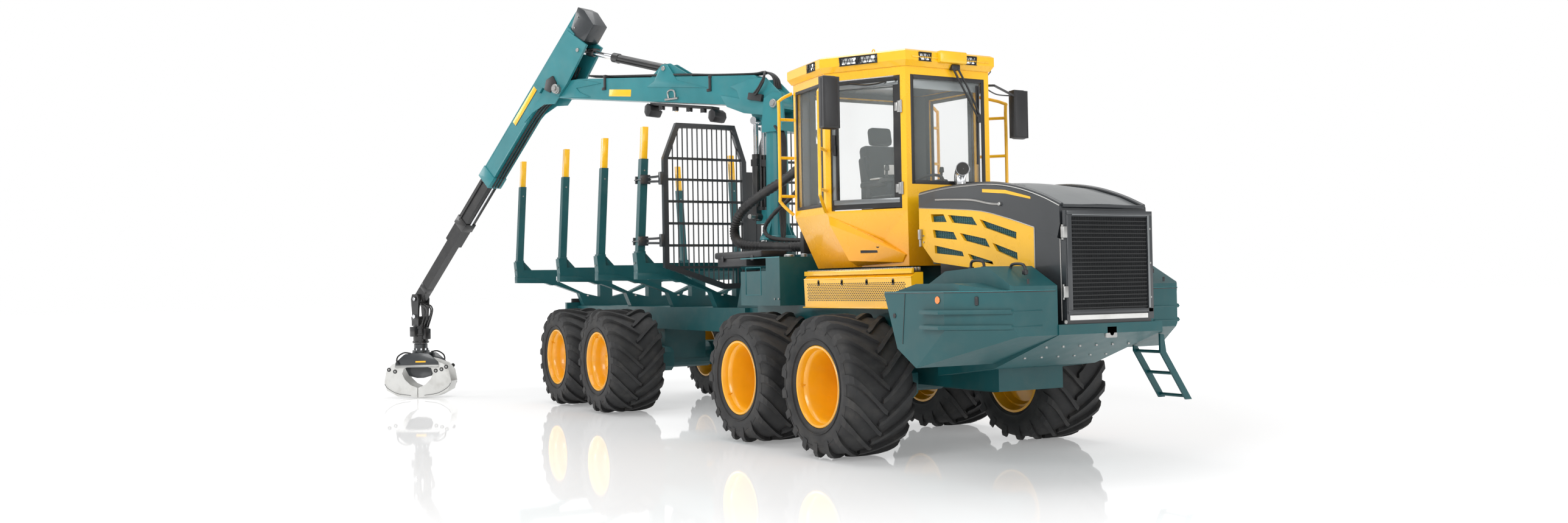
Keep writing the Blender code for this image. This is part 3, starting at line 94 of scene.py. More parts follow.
# ------------------------------------------------------------------ shapes
class Form:
    """A piece's mesh while it is being built."""

    def __init__(self) -> None:
        """Starts with no faces."""
        self.cage = bmesh.new()

    def solid(self, corners: Iterable[Point], faces: Iterable[Sequence[int]], bevel: float = 0.0,
              segments: int = 2) -> None:
        """Adds a closed body and rounds its edges.

        Args:
            corners: the body's points.
            faces: indices of each face's corners.
            bevel: width of the rounding, or nothing.
            segments: steps of the rounding.
        """
        body = bmesh.new()
        points = [body.verts.new(corner) for corner in corners]
        for face in faces:
            body.faces.new([points[i] for i in face])
        bmesh.ops.recalc_face_normals(body, faces=body.faces)
        if bevel > 0:
            bmesh.ops.bevel(body, geom=list(body.edges), offset=bevel, segments=segments,
                            profile=0.5, affect='EDGES', clamp_overlap=True)
        self.take(body)

    def take(self, body: bmesh.types.BMesh, matrix: Optional[Matrix] = None) -> None:
        """Moves another bmesh's faces into this one.

        Args:
            body: the mesh, which is freed.
            matrix: where it goes.
        """
        mesh = bpy.data.meshes.new("part")
        body.to_mesh(mesh)
        body.free()
        self.join(mesh, matrix)

    def join(self, mesh: Mesh, matrix: Optional[Matrix] = None, keep: bool = False) -> None:
        """Adds a mesh to this one.

        Args:
            mesh: the mesh to add.
            matrix: where it goes.
            keep: whether the mesh is used again.
        """
        copy = mesh.copy() if keep else mesh
        if matrix is not None:
            copy.transform(matrix)
            if matrix.determinant() < 0:
                copy.flip_normals()
        self.cage.from_mesh(copy)
        bpy.data.meshes.remove(copy)

    def box(self, low: Point, high: Point, bevel: float = 0.0,
            turn: Optional[Matrix] = None) -> "Form":
        """Adds a box from its lowest to its highest corner.

        Args:
            low: lowest corner.
            high: highest corner.
            bevel: rounding of its edges.
            turn: a turn about the box's middle.

        Returns:
            This form.
        """
        middle = (Vector(low) + Vector(high)) / 2
        half = (Vector(high) - Vector(low)) / 2
        corners = [Vector((x * half.x, y * half.y, z * half.z)) for x in (-1, 1) for y in (-1,
                                                                                           1)
                   for z in (-1, 1)]
        if turn is not None:
            corners = [turn @ corner for corner in corners]
        faces = [(0, 1, 3, 2), (4, 6, 7, 5), (0, 4, 5, 1), (2, 3, 7, 6), (0, 2, 6, 4), (1, 5, 7, 3)]
        self.solid([corner + middle for corner in corners], faces, bevel)
        return self

    def prism(self, outline: Outline, plane: Plane, low: float, high: float,
              bevel: float = 0.0) -> "Form":
        """Adds a plate with the given outline.

        Args:
            outline: points in the plane, in order.
            plane: the axis the plate is thick along.
            low: where the thickness starts.
            high: where it ends.
            bevel: rounding of its edges.

        Returns:
            This form.
        """
        lift = {Plane.ACROSS_X: lambda a, b, t: (t, a, b), Plane.ACROSS_Y: lambda a, b,
                t: (a, t, b), Plane.ACROSS_Z: lambda a, b, t: (a, b, t)}[plane]
        count = len(outline)
        corners = [lift(a, b, t) for t in (low, high) for a, b in outline]
        faces = [tuple(range(count)), tuple(range(count, 2 * count))]
        faces += [(i, (i + 1) % count, (i + 1) % count + count, i + count) for i in range(count)]
        self.solid(corners, faces, bevel)
        return self

    def rod(self, start: Point, end: Point, radius: float, end_radius: Optional[float] = None,
            sides: int = 20, bevel: float = 0.0) -> "Form":
        """Adds a round bar or cone with closed ends.

        Args:
            start: middle of one end.
            end: middle of the other end.
            radius: radius at the start.
            end_radius: radius at the end, the same if left out.
            sides: facets round it.
            bevel: chamfer at both ends, inside its length.

        Returns:
            This form.
        """
        end_radius = radius if end_radius is None else end_radius
        start, end = Vector(start), Vector(end)
        length = (end - start).length
        stations = [(0.0, radius), (length, end_radius)]
        if bevel > 0:
            stations = [(0.0, radius - bevel), (bevel, radius), (length - bevel, end_radius),
                        (length, end_radius - bevel)]
        turn = (end - start).to_track_quat('Z', 'Y').to_matrix()
        corners, faces = [], []
        for distance, size in stations:
            for i in range(sides):
                angle = math.tau * i / sides
                spot = Vector((size * math.cos(angle), size * math.sin(angle), distance))
                corners.append(start + turn @ spot)
        for row in range(len(stations) - 1):
            for i in range(sides):
                j = (i + 1) % sides
                faces.append((row * sides + i, row * sides + j, (row + 1) * sides + j,
                              (row + 1) * sides + i))
        faces += [tuple(range(sides)), tuple(range((len(stations) - 1) * sides,
                                                   len(stations) * sides))]
        self.solid(corners, faces)
        return self

    def tube(self, points: Sequence[Point], radius: float, sides: int = 10, steps: int = 6,
             closed: bool = False, ribs: float = 0.0) -> "Form":
        """Adds a round bar or hose that follows a smooth line through points.

        Args:
            points: what the line passes through.
            radius: its radius.
            sides: facets round it.
            steps: stations from one point to the next; 1 keeps the corners sharp.
            closed: whether it is a ring.
            ribs: height of the ribs of a corrugated hose.

        Returns:
            This form.
        """
        line = smooth_line(points, steps, closed)
        count = len(line)
        corners, faces = [], []
        normal = None
        for i, spot in enumerate(line):
            before = line[i - 1] if i > 0 or closed else spot
            after = line[(i + 1) % count] if i + 1 < count or closed else spot
            along = (after - before).normalized()
            if normal is None:
                normal = along.orthogonal().normalized()
            normal = (normal - along * normal.dot(along)).normalized()
            side = along.cross(normal)
            size = radius + (ribs if i % 2 else 0.0)
            for j in range(sides):
                angle = math.tau * j / sides
                corners.append(spot + (normal * math.cos(angle) + side * math.sin(angle)) * size)
        rows = count if closed else count - 1
        for i in range(rows):
            k = (i + 1) % count
            for j in range(sides):
                m = (j + 1) % sides
                faces.append((i * sides + j, i * sides + m, k * sides + m, k * sides + j))
        if not closed:
            faces += [tuple(range(sides)), tuple(range((count - 1) * sides, count * sides))]
        self.solid(corners, faces)
        return self

    def lathe(self, profile: Outline, steps: int = 72) -> "Form":
        """Adds a body turned about the Y axis.

        Args:
            profile: (radius, y) points; the first and last on the axis, or a closed ring off it.
            steps: facets round it.

        Returns:
            This form.
        """
        closed_ring = profile[0][0] > 0
        rows = []
        corners: list[Vector] = []
        for radius, y in profile:
            if radius <= 0:
                rows.append([len(corners)] * steps)
                corners.append(Vector((0, y, 0)))
                continue
            rows.append(list(range(len(corners), len(corners) + steps)))
            corners += [Vector((radius * math.cos(math.tau * i / steps), y,
                                radius * math.sin(math.tau * i / steps))) for i in range(steps)]
        faces = []
        pairs = list(zip(rows, rows[1:])) + ([(rows[-1], rows[0])] if closed_ring else [])
        for low, high in pairs:
            for i in range(steps):
                j = (i + 1) % steps
                ring = [low[i], low[j], high[j], high[i]]
                face = [corner for n, corner in enumerate(ring) if corner not in ring[:n]]
                if len(face) > 2:
                    faces.append(tuple(face))
        self.solid(corners, faces)
        return self

    def skin(self, rows: Sequence[Sequence[Point]], thickness: float) -> "Form":
        """Adds a bent sheet of some thickness from a grid of points.

        Args:
            rows: points of the outer face, row by row.
            thickness: how far the inner face lies behind it, against the face's normal.

        Returns:
            This form.
        """
        height, width = len(rows), len(rows[0])
        grid = [[Vector(point) for point in row] for row in rows]
        back = []
        for i in range(height):
            for j in range(width):
                across = grid[i][min(j + 1, width - 1)] - grid[i][max(j - 1, 0)]
                up = grid[min(i + 1, height - 1)][j] - grid[max(i - 1, 0)][j]
                back.append(grid[i][j] - across.cross(up).normalized() * thickness)
        corners = [point for row in grid for point in row] + back
        offset = height * width
        faces = []
        for i in range(height - 1):
            for j in range(width - 1):
                a, b = i * width + j, i * width + j + 1
                c, d = (i + 1) * width + j + 1, (i + 1) * width + j
                faces += [(a, b, c, d), (a + offset, d + offset, c + offset, b + offset)]
        edge = [j for j in range(width)] + [i * width + width - 1 for i in range(1, height)]
        edge += [(height - 1) * width + j for j in range(width - 2, -1, -1)]
        edge += [i * width for i in range(height - 2, 0, -1)]
        for a, b in zip(edge, edge[1:] + edge[:1]):
            faces.append((a, a + offset, b + offset, b))
        self.solid(corners, faces)
        return self

    def piece(self, name: str, finish: Material, body: Optional[str], slot: str,
              matrix: Matrix = TO_ROW, smooth: float = 38.0) -> Object:
        """Makes the form one of the machine's pieces.

        Args:
            name: the piece's name.
            finish: its material.
            body: the frame body it rides on, or nothing for a piece that spans two bodies and rides
                on neither.
            slot: the record's material slot; not used.
            matrix: from the form's frame to the row frame.
            smooth: edges sharper than this many degrees stay sharp.

        Returns:
            The new object.
        """
        mesh = bpy.data.meshes.new(name)
        self.cage.to_mesh(mesh)
        self.cage.free()
        mesh.transform(matrix)
        if matrix.determinant() < 0:
            mesh.flip_normals()
        mesh.materials.clear()
        mesh.materials.append(finish)
        mesh.polygons.foreach_set("material_index", [0] * len(mesh.polygons))
        mesh.shade_smooth()
        mesh.set_sharp_from_angle(angle=math.radians(smooth))
        made = bpy.data.objects.new(name, mesh)
        bpy.context.scene.collection.objects.link(made)
        if body is not None:
            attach(made, body)
        LOG.info("%s: %d faces", name, len(mesh.polygons))
        return made


def smooth_line(points: Sequence[Point], steps: int, closed: bool = False) -> list[Vector]:
    """A smooth line through points.

    Args:
        points: what it passes through.
        steps: stations from one point to the next; 1 gives the points themselves.
        closed: whether it is a ring.

    Returns:
        The line's stations.
    """
    knots = [Vector(point) for point in points]
    if steps <= 1:
        return knots
    count = len(knots)
    spans = count if closed else count - 1
    line = []
    for i in range(spans):
        if closed:
            p0, p1, p2, p3 = (knots[(i + k) % count] for k in (-1, 0, 1, 2))
        else:
            p0, p1, p2, p3 = knots[max(i - 1, 0)], knots[i], knots[i + 1], knots[min(i + 2,
                                                                                     count - 1)]
        for step in range(steps):
            t = step / steps
            line.append(0.5 * (2 * p1 + (p2 - p0) * t + (2 * p0 - 5 * p1 + 4 * p2 - p3) * t ** 2
                               + (3 * p1 - p0 - 3 * p2 + p3) * t ** 3))
    if not closed:
        line.append(knots[-1])
    return line


def span(side: int, first: float, second: float) -> list[float]:
    """The lower and upper end of a stretch that lies on one side of the middle.

    Args:
        side: 1 for the left, -1 for the right.
        first: one end's distance from the middle.
        second: the other end's.

    Returns:
        Both ends, the lower one first.
    """
    return sorted((side * first, side * second))


# ------------------------------------------------------------------ repeats
class Repeats:
    """Geometry Nodes trees that repeat a small shape in a grid or round an axle."""

    @staticmethod
    def _tree(name: str, inputs: Sequence[tuple[str, str]]) -> NodeTree:
        """A new tree with named inputs and one geometry output."""
        tree = bpy.data.node_groups.new(name, 'GeometryNodeTree')
        for label, kind in inputs:
            tree.interface.new_socket(name=label, in_out='INPUT', socket_type=kind)
        tree.interface.new_socket(name="Geometry", in_out='OUTPUT',
                                  socket_type='NodeSocketGeometry')
        return tree

    @staticmethod
    def _run(tree: NodeTree, values: dict[str, object]) -> Mesh:
        """Evaluates a tree with its inputs set and returns the plain mesh."""
        holder = bpy.data.objects.new("repeat", bpy.data.meshes.new("repeat"))
        bpy.context.scene.collection.objects.link(holder)
        modifier = holder.modifiers.new("repeat", 'NODES')
        modifier.node_group = tree
        for item in tree.interface.items_tree:
            if item.item_type == 'SOCKET' and item.in_out == 'INPUT' and item.name in values:
                modifier[item.identifier] = values[item.name]
        depsgraph = bpy.context.evaluated_depsgraph_get()
        mesh = bpy.data.meshes.new_from_object(holder.evaluated_get(depsgraph))
        holder.modifiers.remove(modifier)
        bpy.data.objects.remove(holder)
        bpy.data.node_groups.remove(tree)
        return mesh

    @staticmethod
    def _source(shape: Form) -> Object:
        """A hidden object that holds the shape to repeat."""
        mesh = bpy.data.meshes.new("shape")
        shape.cage.to_mesh(mesh)
        shape.cage.free()
        source = bpy.data.objects.new("shape", mesh)
        bpy.context.scene.collection.objects.link(source)
        return source

    @staticmethod
    def _step(tree: NodeTree, kind: str, operation: str, feeds: dict) -> NodeSocket:
        """One calculation, fed by the sockets given for its inputs."""
        node = tree.nodes.new(kind)
        node.operation = operation
        for key, value in feeds.items():
            tree.links.new(value, node.inputs[key])
        return node.outputs[0]

    @staticmethod
    def _placed(tree: NodeTree, group: object, count: object, position: object,
                turn: object) -> None:
        """Fills a tree that puts the shape on points and realises the copies."""
        nodes, links = tree.nodes, tree.links
        points = nodes.new('GeometryNodePoints')
        shape = nodes.new('GeometryNodeObjectInfo')
        copies = nodes.new('GeometryNodeInstanceOnPoints')
        real = nodes.new('GeometryNodeRealizeInstances')
        paint = nodes.new('GeometryNodeSetMaterial')
        output = nodes.new('NodeGroupOutput')
        links.new(group["Shape"], shape.inputs["Object"])
        links.new(group["Finish"], paint.inputs["Material"])
        links.new(count, points.inputs["Count"])
        if position is not None:
            links.new(position, points.inputs["Position"])
        links.new(points.outputs[0], copies.inputs["Points"])
        links.new(shape.outputs["Geometry"], copies.inputs["Instance"])
        if turn is not None:
            links.new(turn, copies.inputs["Rotation"])
        links.new(copies.outputs[0], real.inputs[0])
        links.new(real.outputs[0], paint.inputs["Geometry"])
        links.new(paint.outputs[0], output.inputs[0])

    @classmethod
    def ring(cls, shape: Form, count: int, phase: float = 0.0) -> Mesh:
        """Copies of a shape turned about the Y axis.

        Args:
            shape: the shape, at its own distance from the axis; it is used up.
            count: how many copies.
            phase: turn of the first copy, in radians.

        Returns:
            One mesh with all copies.
        """
        source = cls._source(shape)
        tree = cls._tree("ring_of_copies", (("Shape", 'NodeSocketObject'),
                                            ("Finish", 'NodeSocketMaterial'),
                                            ("Count", 'NodeSocketInt'), ("Step", 'NodeSocketFloat'),
                                            ("Phase", 'NodeSocketFloat')))
        group = tree.nodes.new('NodeGroupInput').outputs
        index = tree.nodes.new('GeometryNodeInputIndex').outputs[0]
        angle = cls._step(tree, 'ShaderNodeMath', 'MULTIPLY_ADD',
                          {0: index, 1: group["Step"], 2: group["Phase"]})
        turn = tree.nodes.new('ShaderNodeCombineXYZ')
        tree.links.new(angle, turn.inputs["Y"])
        cls._placed(tree, group, group["Count"], None, turn.outputs[0])
        mesh = cls._run(tree, {"Shape": source, "Count": count, "Step": math.tau / count,
                               "Phase": phase})
        bpy.data.objects.remove(source)
        return mesh

    @classmethod
    def grid(cls, shape: Form, start: Point, step: Point, count: int, row_step: Point = (0, 0, 0),
             rows: int = 1) -> Mesh:
        """Copies of a shape in rows.

        Args:
            shape: the shape at the origin; it is used up.
            start: place of the first copy.
            step: from one copy to the next in a row.
            count: copies in a row.
            row_step: from one row to the next.
            rows: how many rows.

        Returns:
            One mesh with all copies.
        """
        source = cls._source(shape)
        tree = cls._tree("rows_of_copies", (("Shape", 'NodeSocketObject'),
                                            ("Finish", 'NodeSocketMaterial'),
                                            ("Total", 'NodeSocketInt'), ("Count",
                                                                         'NodeSocketFloat'),
                                            ("Start", 'NodeSocketVector'),
                                            ("Step", 'NodeSocketVector'),
                                            ("Row Step", 'NodeSocketVector')))
        group = tree.nodes.new('NodeGroupInput').outputs
        index = tree.nodes.new('GeometryNodeInputIndex').outputs[0]
        column = cls._step(tree, 'ShaderNodeMath', 'MODULO', {0: index, 1: group["Count"]})
        share = cls._step(tree, 'ShaderNodeMath', 'DIVIDE', {0: index, 1: group["Count"]})
        row = cls._step(tree, 'ShaderNodeMath', 'FLOOR', {0: share})
        along = cls._step(tree, 'ShaderNodeVectorMath', 'SCALE',
                          {0: group["Step"], "Scale": column})
        down = cls._step(tree, 'ShaderNodeVectorMath', 'SCALE',
                         {0: group["Row Step"], "Scale": row})
        both = cls._step(tree, 'ShaderNodeVectorMath', 'ADD', {0: along, 1: down})
        place = cls._step(tree, 'ShaderNodeVectorMath', 'ADD', {0: both, 1: group["Start"]})
        cls._placed(tree, group, group["Total"], place, None)
        mesh = cls._run(tree, {"Shape": source, "Total": count * rows, "Count": float(count),
                               "Start": tuple(start), "Step": tuple(step),
                               "Row Step": tuple(row_step)})
        bpy.data.objects.remove(source)
        return mesh


# ------------------------------------------------------------------ finishes
@dataclass(frozen=True)
class Paint:
    """A painted, moulded or bare surface with fine variation in colour, gloss and relief."""

    name: str
    colour: tuple[float, float, float]
    roughness: float = 0.35
    metallic: float = 0.0
    coat: float = 0.0
    grain: float = 350.0
    relief: float = 0.03
    mottle: float = 0.06
    mottle_size: float = 2.0
    dust: tuple[float, float, float] = (0.30, 0.27, 0.22)
    dust_amount: float = 0.0
    # painted shade: a darker colour that the finish turns to towards the bottom, standing in for
    # the shade on its lower faces
    painted_shade_colour: Optional[tuple[float, float, float]] = None
    painted_shade_heights: tuple[float, float] = (1.7, 2.3)

    def make(self) -> Material:
        """Builds the material.

        Returns:
            The material, with its pattern on object coordinates.
        """
        made = bpy.data.materials.new(self.name)
        made.use_nodes = True
        nodes, links = made.node_tree.nodes, made.node_tree.links
        shader = nodes["Principled BSDF"]
        shader.inputs["Metallic"].default_value = self.metallic
        shader.inputs["Coat Weight"].default_value = self.coat
        shader.inputs["Coat Roughness"].default_value = 0.08
        made.diffuse_color = (*self.colour, 1)
        place = nodes.new('ShaderNodeTexCoord').outputs["Object"]
        base = self._painted_height_shade(nodes, links, place)
        blotch = self._noise(nodes, links, place, self.mottle_size, 5.0)
        darker = tuple(channel * (1 - 2.5 * self.mottle) for channel in self.colour)
        lighter = tuple(min(1.0, channel * (1 + self.mottle) + 0.01 * self.mottle)
                        for channel in self.colour)
        shade = self._ramp(nodes, links, blotch, 0.30, 0.70, darker, lighter)
        colour = self._mix(nodes, links, shade, base, None, 0.5) if base is not None else shade
        if self.dust_amount > 0:
            dirt = self._noise(nodes, links, place, 7.0, 8.0)
            mask = self._ramp(nodes, links, dirt, 0.48, 0.75, (0, 0, 0), (self.dust_amount,) * 3)
            colour = self._mix(nodes, links, colour, self.dust, mask, 0.0)
        links.new(colour, shader.inputs["Base Color"])
        sheen = self._noise(nodes, links, place, self.mottle_size * 4, 4.0)
        gloss = nodes.new('ShaderNodeMapRange')
        gloss.inputs["To Min"].default_value = max(self.roughness - 0.07, 0.02)
        gloss.inputs["To Max"].default_value = min(self.roughness + 0.09, 1.0)
        links.new(sheen, gloss.inputs["Value"])
        links.new(gloss.outputs[0], shader.inputs["Roughness"])
        bump = nodes.new('ShaderNodeBump')
        bump.inputs["Strength"].default_value = self.relief
        bump.inputs["Distance"].default_value = 0.002
        links.new(self._noise(nodes, links, place, self.grain, 2.0), bump.inputs["Height"])
        links.new(bump.outputs[0], shader.inputs["Normal"])
        return made

    def _painted_height_shade(self, nodes: Nodes, links: NodeLinks,
                     place: NodeSocket) -> Optional[NodeSocket]:
        """The painted shade: the colour changes with height, turning darker towards the bottom,
        where the finish has one.
        """
        if self.painted_shade_colour is None:
            return None
        split = nodes.new('ShaderNodeSeparateXYZ')
        links.new(place, split.inputs[0])
        height = nodes.new('ShaderNodeMapRange')
        low, high = self.painted_shade_heights
        height.inputs["From Min"].default_value, height.inputs["From Max"].default_value = low, high
        links.new(split.outputs["Z"], height.inputs["Value"])
        return self._ramp(nodes, links, height.outputs[0], 0.0, 1.0, self.painted_shade_colour, self.colour)

    @staticmethod
    def _noise(nodes: Nodes, links: NodeLinks, place: NodeSocket, scale: float,
               detail: float) -> NodeSocket:
        """A noise value on the given coordinates."""
        noise = nodes.new('ShaderNodeTexNoise')
        noise.inputs["Scale"].default_value = scale
        noise.inputs["Detail"].default_value = detail
        links.new(place, noise.inputs["Vector"])
        return noise.outputs[0]

    @staticmethod
    def _ramp(nodes: Nodes, links: NodeLinks, value: NodeSocket, low: float, high: float,
              first: Sequence[float], last: Sequence[float]) -> NodeSocket:
        """A colour between two, by a value."""
        ramp = nodes.new('ShaderNodeValToRGB')
        ramp.color_ramp.elements[0].position, ramp.color_ramp.elements[1].position = low, high
        ramp.color_ramp.elements[0].color = (*first, 1)
        ramp.color_ramp.elements[1].color = (*last, 1)
        links.new(value, ramp.inputs[0])
        return ramp.outputs[0]

    @staticmethod
    def _mix(nodes: Nodes, links: NodeLinks, first: NodeSocket, second: object,
             mask: Optional[NodeSocket], share: float) -> NodeSocket:
        """A mix of two colours, by a mask or a fixed share."""
        mix = nodes.new('ShaderNodeMix')
        mix.data_type = 'RGBA'
        mix.inputs["Factor"].default_value = share
        if mask is not None:
            links.new(mask, mix.inputs["Factor"])
        links.new(first, mix.inputs[6])
        if isinstance(second, NodeSocket):
            links.new(second, mix.inputs[7])
        else:
            mix.inputs[7].default_value = (*second, 1)
        return mix.outputs[2]


@dataclass(frozen=True)
class Weave:
    """Woven upholstery cloth."""

    name: str
    colour: tuple[float, float, float]
    thread: float = 420.0

    def make(self) -> Material:
        """Builds the material.

        Returns:
            The material.
        """
        made = bpy.data.materials.new(self.name)
        made.use_nodes = True
        nodes, links = made.node_tree.nodes, made.node_tree.links
        shader = nodes["Principled BSDF"]
        shader.inputs["Roughness"].default_value = 0.92
        shader.inputs["Sheen Weight"].default_value = 0.25
        place = nodes.new('ShaderNodeTexCoord').outputs["Object"]
        waves = []
        for direction in ('Y', 'Z'):
            wave = nodes.new('ShaderNodeTexWave')
            wave.bands_direction = direction
            wave.inputs["Scale"].default_value = self.thread
            links.new(place, wave.inputs["Vector"])
            waves.append(wave.outputs["Fac"])
        cross = nodes.new('ShaderNodeMath')
        cross.operation = 'MULTIPLY'
        links.new(waves[0], cross.inputs[0])
        links.new(waves[1], cross.inputs[1])
        dark = tuple(channel * 0.55 for channel in self.colour)
        links.new(Paint._ramp(nodes, links, cross.outputs[0], 0.1, 0.9, dark, self.colour),
                  shader.inputs["Base Color"])
        bump = nodes.new('ShaderNodeBump')
        bump.inputs["Strength"].default_value = 0.25
        bump.inputs["Distance"].default_value = 0.001
        links.new(cross.outputs[0], bump.inputs["Height"])
        links.new(bump.outputs[0], shader.inputs["Normal"])
        return made


@dataclass(frozen=True)
class Glazing:
    """Clear sheet glass, a little tinted."""

    name: str
    tint: tuple[float, float, float] = (0.80, 0.88, 0.87)
    opacity: float = 0.07

    def make(self) -> Material:
        """Builds the material.

        Returns:
            A thin glass that lets light straight through.
        """
        made = bpy.data.materials.new(self.name)
        made.use_nodes = True
        nodes, links = made.node_tree.nodes, made.node_tree.links
        shader = nodes["Principled BSDF"]
        shader.inputs["Base Color"].default_value = (*self.tint, 1)
        shader.inputs["Roughness"].default_value = 0.03
        shader.inputs["IOR"].default_value = 1.45
        shader.inputs["Alpha"].default_value = self.opacity
        place = nodes.new('ShaderNodeTexCoord').outputs["Object"]
        smear = Paint._noise(nodes, links, place, 3.0, 3.0)
        spread = nodes.new('ShaderNodeMapRange')
        spread.inputs["To Min"].default_value = 0.02
        spread.inputs["To Max"].default_value = 0.07
        links.new(smear, spread.inputs["Value"])
        links.new(spread.outputs[0], shader.inputs["Roughness"])
        return made


@dataclass(frozen=True)
class Palette:
    """Every finish of the machine, made once."""

    teal: Material
    crane: Material
    yellow: Material
    cab: Material
    rim: Material
    charcoal: Material
    silver: Material
    black: Material
    rubber: Material
    hose: Material
    chrome: Material
    steel: Material
    white: Material
    plastic: Material
    mesh_wire: Material
    cloth: Material
    glass: Material
    amber: Material
    mirror: Material

    @staticmethod
    def mixed() -> "Palette":
        """Mixes all finishes.

        Returns:
            The palette.
        """
        return Palette(
            teal=Paint("dark_teal_paint", (0.002, 0.072, 0.080), 0.42, coat=0.08, relief=0.04,
                       mottle=0.05,
                       dust_amount=0.04).make(),
            crane=Paint("light_turquoise_paint", (0.020, 0.200, 0.225), 0.36, coat=0.2, relief=0.04,
                        dust_amount=0.05).make(),
            yellow=Paint("warm_yellow_paint", (0.93, 0.50, 0.008), 0.28, coat=0.5,
                         mottle=0.03).make(),
            # painted shade: the cab's yellow turns deep orange from 2.35 m down to 1.80 m, standing
            # in for the shade on its lower faces
            cab=Paint("cab_yellow_paint_with_painted_shade", (0.93, 0.50, 0.008), 0.26, coat=0.6, mottle=0.03,
                      painted_shade_colour=(0.90, 0.27, 0.004), painted_shade_heights=(1.80, 2.35)).make(),
            rim=Paint("rim_golden_paint", (0.90, 0.42, 0.008), 0.30, coat=0.5, mottle=0.05,
                      dust_amount=0.08).make(),
            charcoal=Paint("charcoal_paint", (0.028, 0.032, 0.036), 0.32, coat=0.4,
                           mottle=0.08).make(),
            silver=Paint("silver_grey_paint", (0.20, 0.215, 0.22), 0.30, metallic=0.4,
                         coat=0.4).make(),
            black=Paint("black_paint", (0.012, 0.012, 0.013), 0.30, coat=0.3,
                        dust_amount=0.05).make(),
            rubber=Paint("black_rubber", (0.021, 0.021, 0.022), 0.68, grain=120.0, relief=0.25,
                         mottle=0.14,
                         mottle_size=5.0, dust=(0.075, 0.070, 0.062), dust_amount=0.35).make(),
            hose=Paint("hose_rubber", (0.014, 0.014, 0.015), 0.50, grain=500.0, relief=0.12,
                       dust_amount=0.06).make(),
            chrome=Paint("polished_rod", (0.72, 0.73, 0.75), 0.12, metallic=1.0, mottle=0.02,
                         relief=0.01).make(),
            steel=Paint("plated_steel", (0.42, 0.42, 0.41), 0.36, metallic=0.9, mottle=0.08).make(),
            white=Paint("off_white_paint", (0.70, 0.70, 0.68), 0.42, mottle=0.05,
                        dust=(0.20, 0.18, 0.15), dust_amount=0.30).make(),
            plastic=Paint("black_plastic", (0.018, 0.018, 0.020), 0.45, grain=900.0,
                          relief=0.10).make(),
            mesh_wire=Paint("black_wire", (0.016, 0.017, 0.018), 0.38, metallic=0.2).make(),
            cloth=Weave("seat_cloth", (0.022, 0.025, 0.031)).make(),
            glass=Glazing("cab_glass").make(),
            amber=Paint("amber_lens", (0.85, 0.22, 0.01), 0.12, coat=0.8, relief=0.0).make(),
            mirror=Paint("mirror_face", (0.82, 0.84, 0.85), 0.04, metallic=1.0, relief=0.0,
                         mottle=0.01).make(),
        )


# ------------------------------------------------------------------ studio
@dataclass(frozen=True)
class SoftLight:
    """A soft rectangular lamp that looks at a point."""

    name: str
    place: Point
    target: Point
    power: float
    size: float

    def make(self) -> None:
        """Hangs the lamp."""
        lamp = bpy.data.lights.new(self.name, 'AREA')
        lamp.energy = self.power
        lamp.size = self.size
        holder = bpy.data.objects.new(self.name, lamp)
        bpy.context.scene.collection.objects.link(holder)
        holder.location = self.place
        look = Vector(self.target) - Vector(self.place)
        holder.rotation_euler = look.to_track_quat('-Z', 'Y').to_euler()


